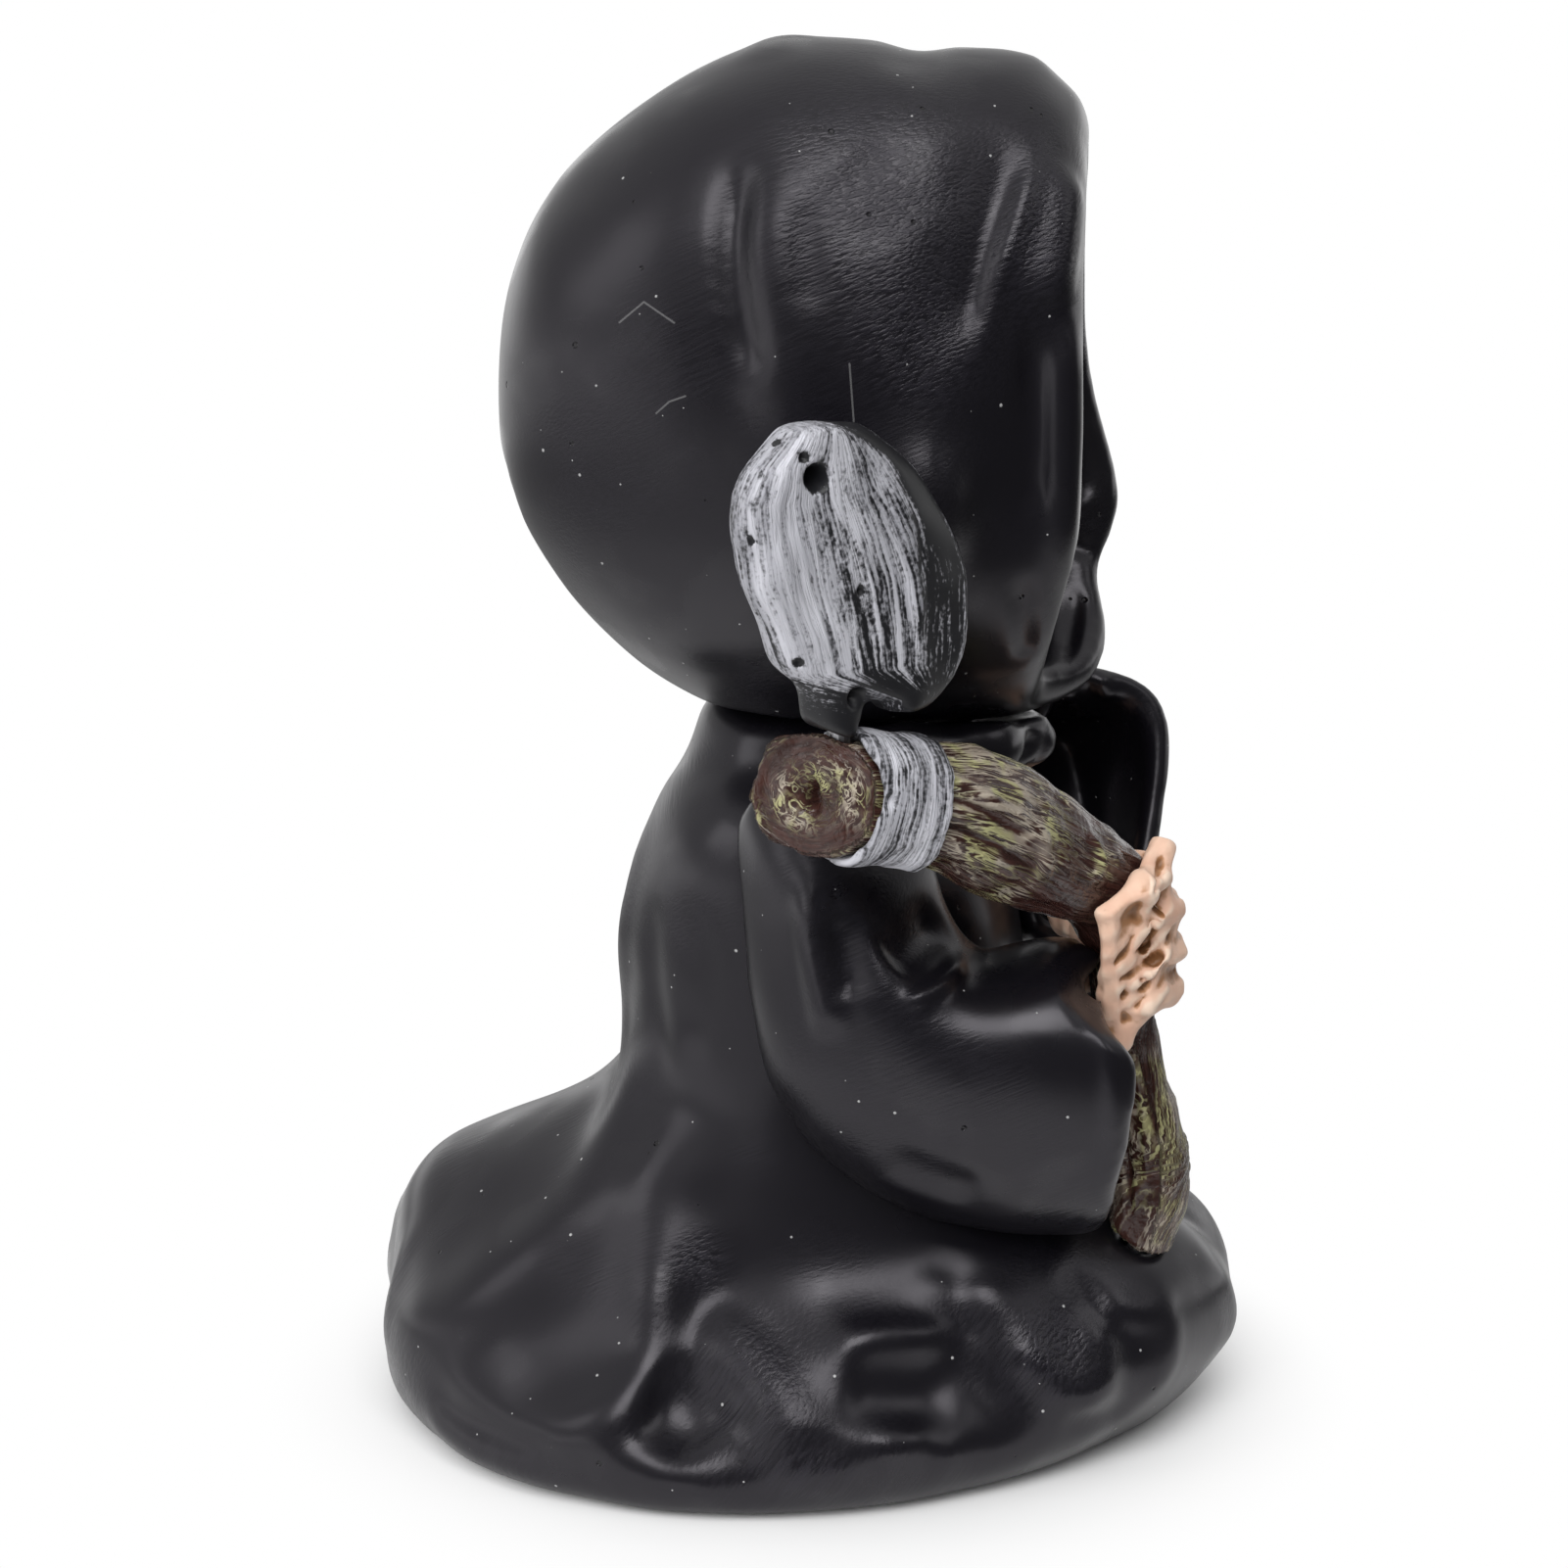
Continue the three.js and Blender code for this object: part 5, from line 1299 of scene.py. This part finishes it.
class FIGURINE_OT_trim(Operator):
    """Finishes the felt pad and the pins, which keep their solids"""

    bl_idname = "figurine.trim"
    bl_label = "Pad and pins"

    def execute(self, context):
        coat(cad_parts["base_pad"], "Black felt")
        for name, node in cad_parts.items():
            if name.endswith("_pin"):
                coat(node, "Drawn steel wire")
        return {"FINISHED"}


class FIGURINE_OT_paints(Operator):
    """Mixes the paints that the pieces wear"""

    bl_idname = "figurine.paints"
    bl_label = "Paints"

    def execute(self, context):
        build_brush_strokes()
        build_specks()
        build_patches()
        build_hollows()
        build_grain_lines()
        build_hair()
        build_brown_patch()
        for make in PAINT_MAKERS:
            make(context.scene.reaper_paint)
        return {"FINISHED"}


# Each lamp gives its setting, its place, its size and whether gloss mirrors it, in metres.
LAMPS = [
    ("top_light", (-0.28, -0.05, 0.46), (0.29, 0.26), True),
    ("side_light", (-0.2, 0.36, 0.32), (0.2, 0.2), True),
    ("front_light", (-0.08, -0.36, 0.36), (0.2, 0.16), True),
    ("fill_light", (-0.5, 0.1, 0.3), (0.4, 0.4), False),
]
FIGURE_MIDDLE = Vector((0, 0, 0.05))
CAMERA_PLACE, CAMERA_AIM = Vector((-0.25503, -0.02061, 0.103)), Vector((0, 0.0017, 0.046))
LIT_SIDE = (0.55, 0.66, 0.5)  # the way to the bright side of the room
DARK_END = (-0.55, -0.83, 0)  # the way along the floor to where it ends


class FIGURINE_OT_stage(Operator):
    """Sets out the pale floor, the soft lights and the camera"""

    bl_idname = "figurine.stage"
    bl_label = "Stage"

    def execute(self, context):
        settings = context.scene.reaper_stage
        context.scene.view_settings.view_transform = "Standard"
        self.lay_floor(settings)
        self.set_world(context.scene, settings)
        for lamp in LAMPS:
            self.hang(settings, *lamp)
        self.set_camera(context.scene, settings)
        return {"FINISHED"}

    def lay_floor(self, settings):
        bpy.ops.object.select_all(action="DESELECT")
        bpy.ops.mesh.primitive_circle_add(vertices=96, radius=3.0, fill_type="NGON", location=(0, 0, 0))
        floor = bpy.context.object
        floor.name = "floor"
        made, tree, shader = material("Pale floor")
        shader.inputs["Roughness"].default_value = 0.9
        place = object_place(tree)
        toward = facing_share(tree, place, DARK_END)
        lights = tree.nodes.new("ShaderNodeLightPath").outputs
        seen = lights["Is Camera Ray"]
        unseen = minus(tree, 1.0, seen)
        dark = times(tree, rescale(tree, toward, 0.05, 0.13), unseen)
        reach = put(tree, "ShaderNodeVectorMath", {0: place}, operation="LENGTH").outputs["Value"]
        away = times(tree, rescale(tree, reach, 0.045, 0.15), unseen)
        pale = tint(tree, away, (*settings.floor, 1), (*settings.floor_edge, 1))
        feed(tree, shader.inputs["Base Color"], tint(tree, dark, pale, (*settings.floor_end, 1)))
        white = put(tree, "ShaderNodeEmission", {"Color": (1, 1, 1, 1), "Strength": 1.0})
        near_white = times(tree, rescale(tree, reach, 0.026, 0.042), seen)
        mirrored = maths(tree, "ADD", lights["Is Glossy Ray"], lights["Is Transmission Ray"], clamp=True)
        far_white = times(tree, rescale(tree, reach, 0.2, 0.5), mirrored)
        far_white = times(tree, far_white, minus(tree, 1.0, dark))
        both = put(tree, "ShaderNodeMixShader", {0: maths(tree, "MAXIMUM", near_white, far_white)})
        tree.links.new(shader.outputs[0], both.inputs[1])
        tree.links.new(white.outputs[0], both.inputs[2])
        tree.links.new(both.outputs[0], tree.nodes["Material Output"].inputs["Surface"])
        floor.data.materials.append(made)
        floor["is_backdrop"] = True

    def set_world(self, scene, settings):
        """White where the camera looks past the figure, and a soft room that is brighter behind it."""
        world = bpy.data.worlds.new("Soft room")
        world.use_nodes = True
        scene.world = world
        tree = world.node_tree
        background = tree.nodes["Background"]
        direction = tree.nodes.new("ShaderNodeTexCoord").outputs["Generated"]
        toward = facing_share(tree, direction, Vector(LIT_SIDE).normalized())
        split = put(tree, "ShaderNodeSeparateXYZ", {0: direction}).outputs
        lit = maths(tree, "MAXIMUM", rescale(tree, toward, -0.35, 0.15), rescale(tree, split["X"], 0.15, 0.5))
        lit = times(tree, lit, rescale(tree, split["Z"], 0.03, 0.26, 1.0, settings.lit_above))
        room = rescale(tree, lit, 0.0, 1.0, settings.dark_side, settings.lit_side)
        seen = tree.nodes.new("ShaderNodeLightPath").outputs["Is Camera Ray"]
        strength = put(tree, "ShaderNodeMix", {0: seen, 2: room, 3: 1.0}).outputs[0]
        feed(tree, background.inputs["Color"], (1, 1, 1, 1))
        feed(tree, background.inputs["Strength"], strength)

    def hang(self, settings, setting, place, size, mirrored):
        """Hangs one lamp, turned to the middle of the figure."""
        light = bpy.data.lights.new(setting.replace("_", " ").capitalize(), "AREA")
        light.shape, light.energy = "RECTANGLE", getattr(settings, setting)
        light.size, light.size_y = size
        lamp = bpy.data.objects.new(light.name, light)
        lamp.location = place
        lamp.rotation_euler = (FIGURE_MIDDLE - Vector(place)).to_track_quat("-Z", "Y").to_euler()
        lamp.visible_glossy = mirrored
        bpy.context.collection.objects.link(lamp)

    def set_camera(self, scene, settings):
        data = bpy.data.cameras.new("Camera")
        data.lens, data.sensor_width = settings.lens, 36.0
        camera = bpy.data.objects.new("Camera", data)
        camera.location = CAMERA_PLACE
        camera.rotation_euler = (CAMERA_AIM - CAMERA_PLACE).to_track_quat("-Z", "Y").to_euler()
        data.clip_start, data.clip_end = 0.01, 20.0
        bpy.context.collection.objects.link(camera)
        scene.camera = camera


class VIEW3D_PT_reaper(Panel):
    """Lists the sizes, the colours and the steps"""

    bl_label = "Resin Reaper"
    bl_space_type = "VIEW_3D"
    bl_region_type = "UI"
    bl_category = "Reaper"

    def draw(self, context):
        for group_name in ("reaper_sculpt", "reaper_paint", "reaper_stage"):
            settings = getattr(context.scene, group_name)
            box = self.layout.box()
            for name in settings.__annotations__:
                box.prop(settings, name)
        for step in STEPS:
            self.layout.operator(step)


STEPS = (
    "figurine.paints",
    "figurine.robe",
    "figurine.hood",
    "figurine.collar",
    "figurine.sleeves",
    "figurine.skull",
    "figurine.hands",
    "figurine.branch",
    "figurine.blade",
    "figurine.trim",
    "figurine.stage",
)

CLASSES = (
    ReaperPaint,
    ReaperSculpt,
    ReaperStage,
    FIGURINE_OT_paints,
    FIGURINE_OT_robe,
    FIGURINE_OT_hood,
    FIGURINE_OT_collar,
    FIGURINE_OT_sleeves,
    FIGURINE_OT_skull,
    FIGURINE_OT_hands,
    FIGURINE_OT_branch,
    FIGURINE_OT_blade,
    FIGURINE_OT_trim,
    FIGURINE_OT_stage,
    VIEW3D_PT_reaper,
)


def register():
    for item in CLASSES:
        bpy.utils.register_class(item)
    bpy.types.Scene.reaper_paint = PointerProperty(type=ReaperPaint)
    bpy.types.Scene.reaper_sculpt = PointerProperty(type=ReaperSculpt)
    bpy.types.Scene.reaper_stage = PointerProperty(type=ReaperStage)


def unregister():
    del bpy.types.Scene.reaper_stage
    del bpy.types.Scene.reaper_sculpt
    del bpy.types.Scene.reaper_paint
    for item in reversed(CLASSES):
        bpy.utils.unregister_class(item)


def main():
    register()
    for step in STEPS:
        area, name = step.split(".")
        getattr(getattr(bpy.ops, area), name)()
    boxes = {"solids": SOLIDS_BOX, "pieces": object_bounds()}
    boxes = {name: [list(corner) for corner in box] for name, box in boxes.items()}


if __name__ == "__main__":
    main()
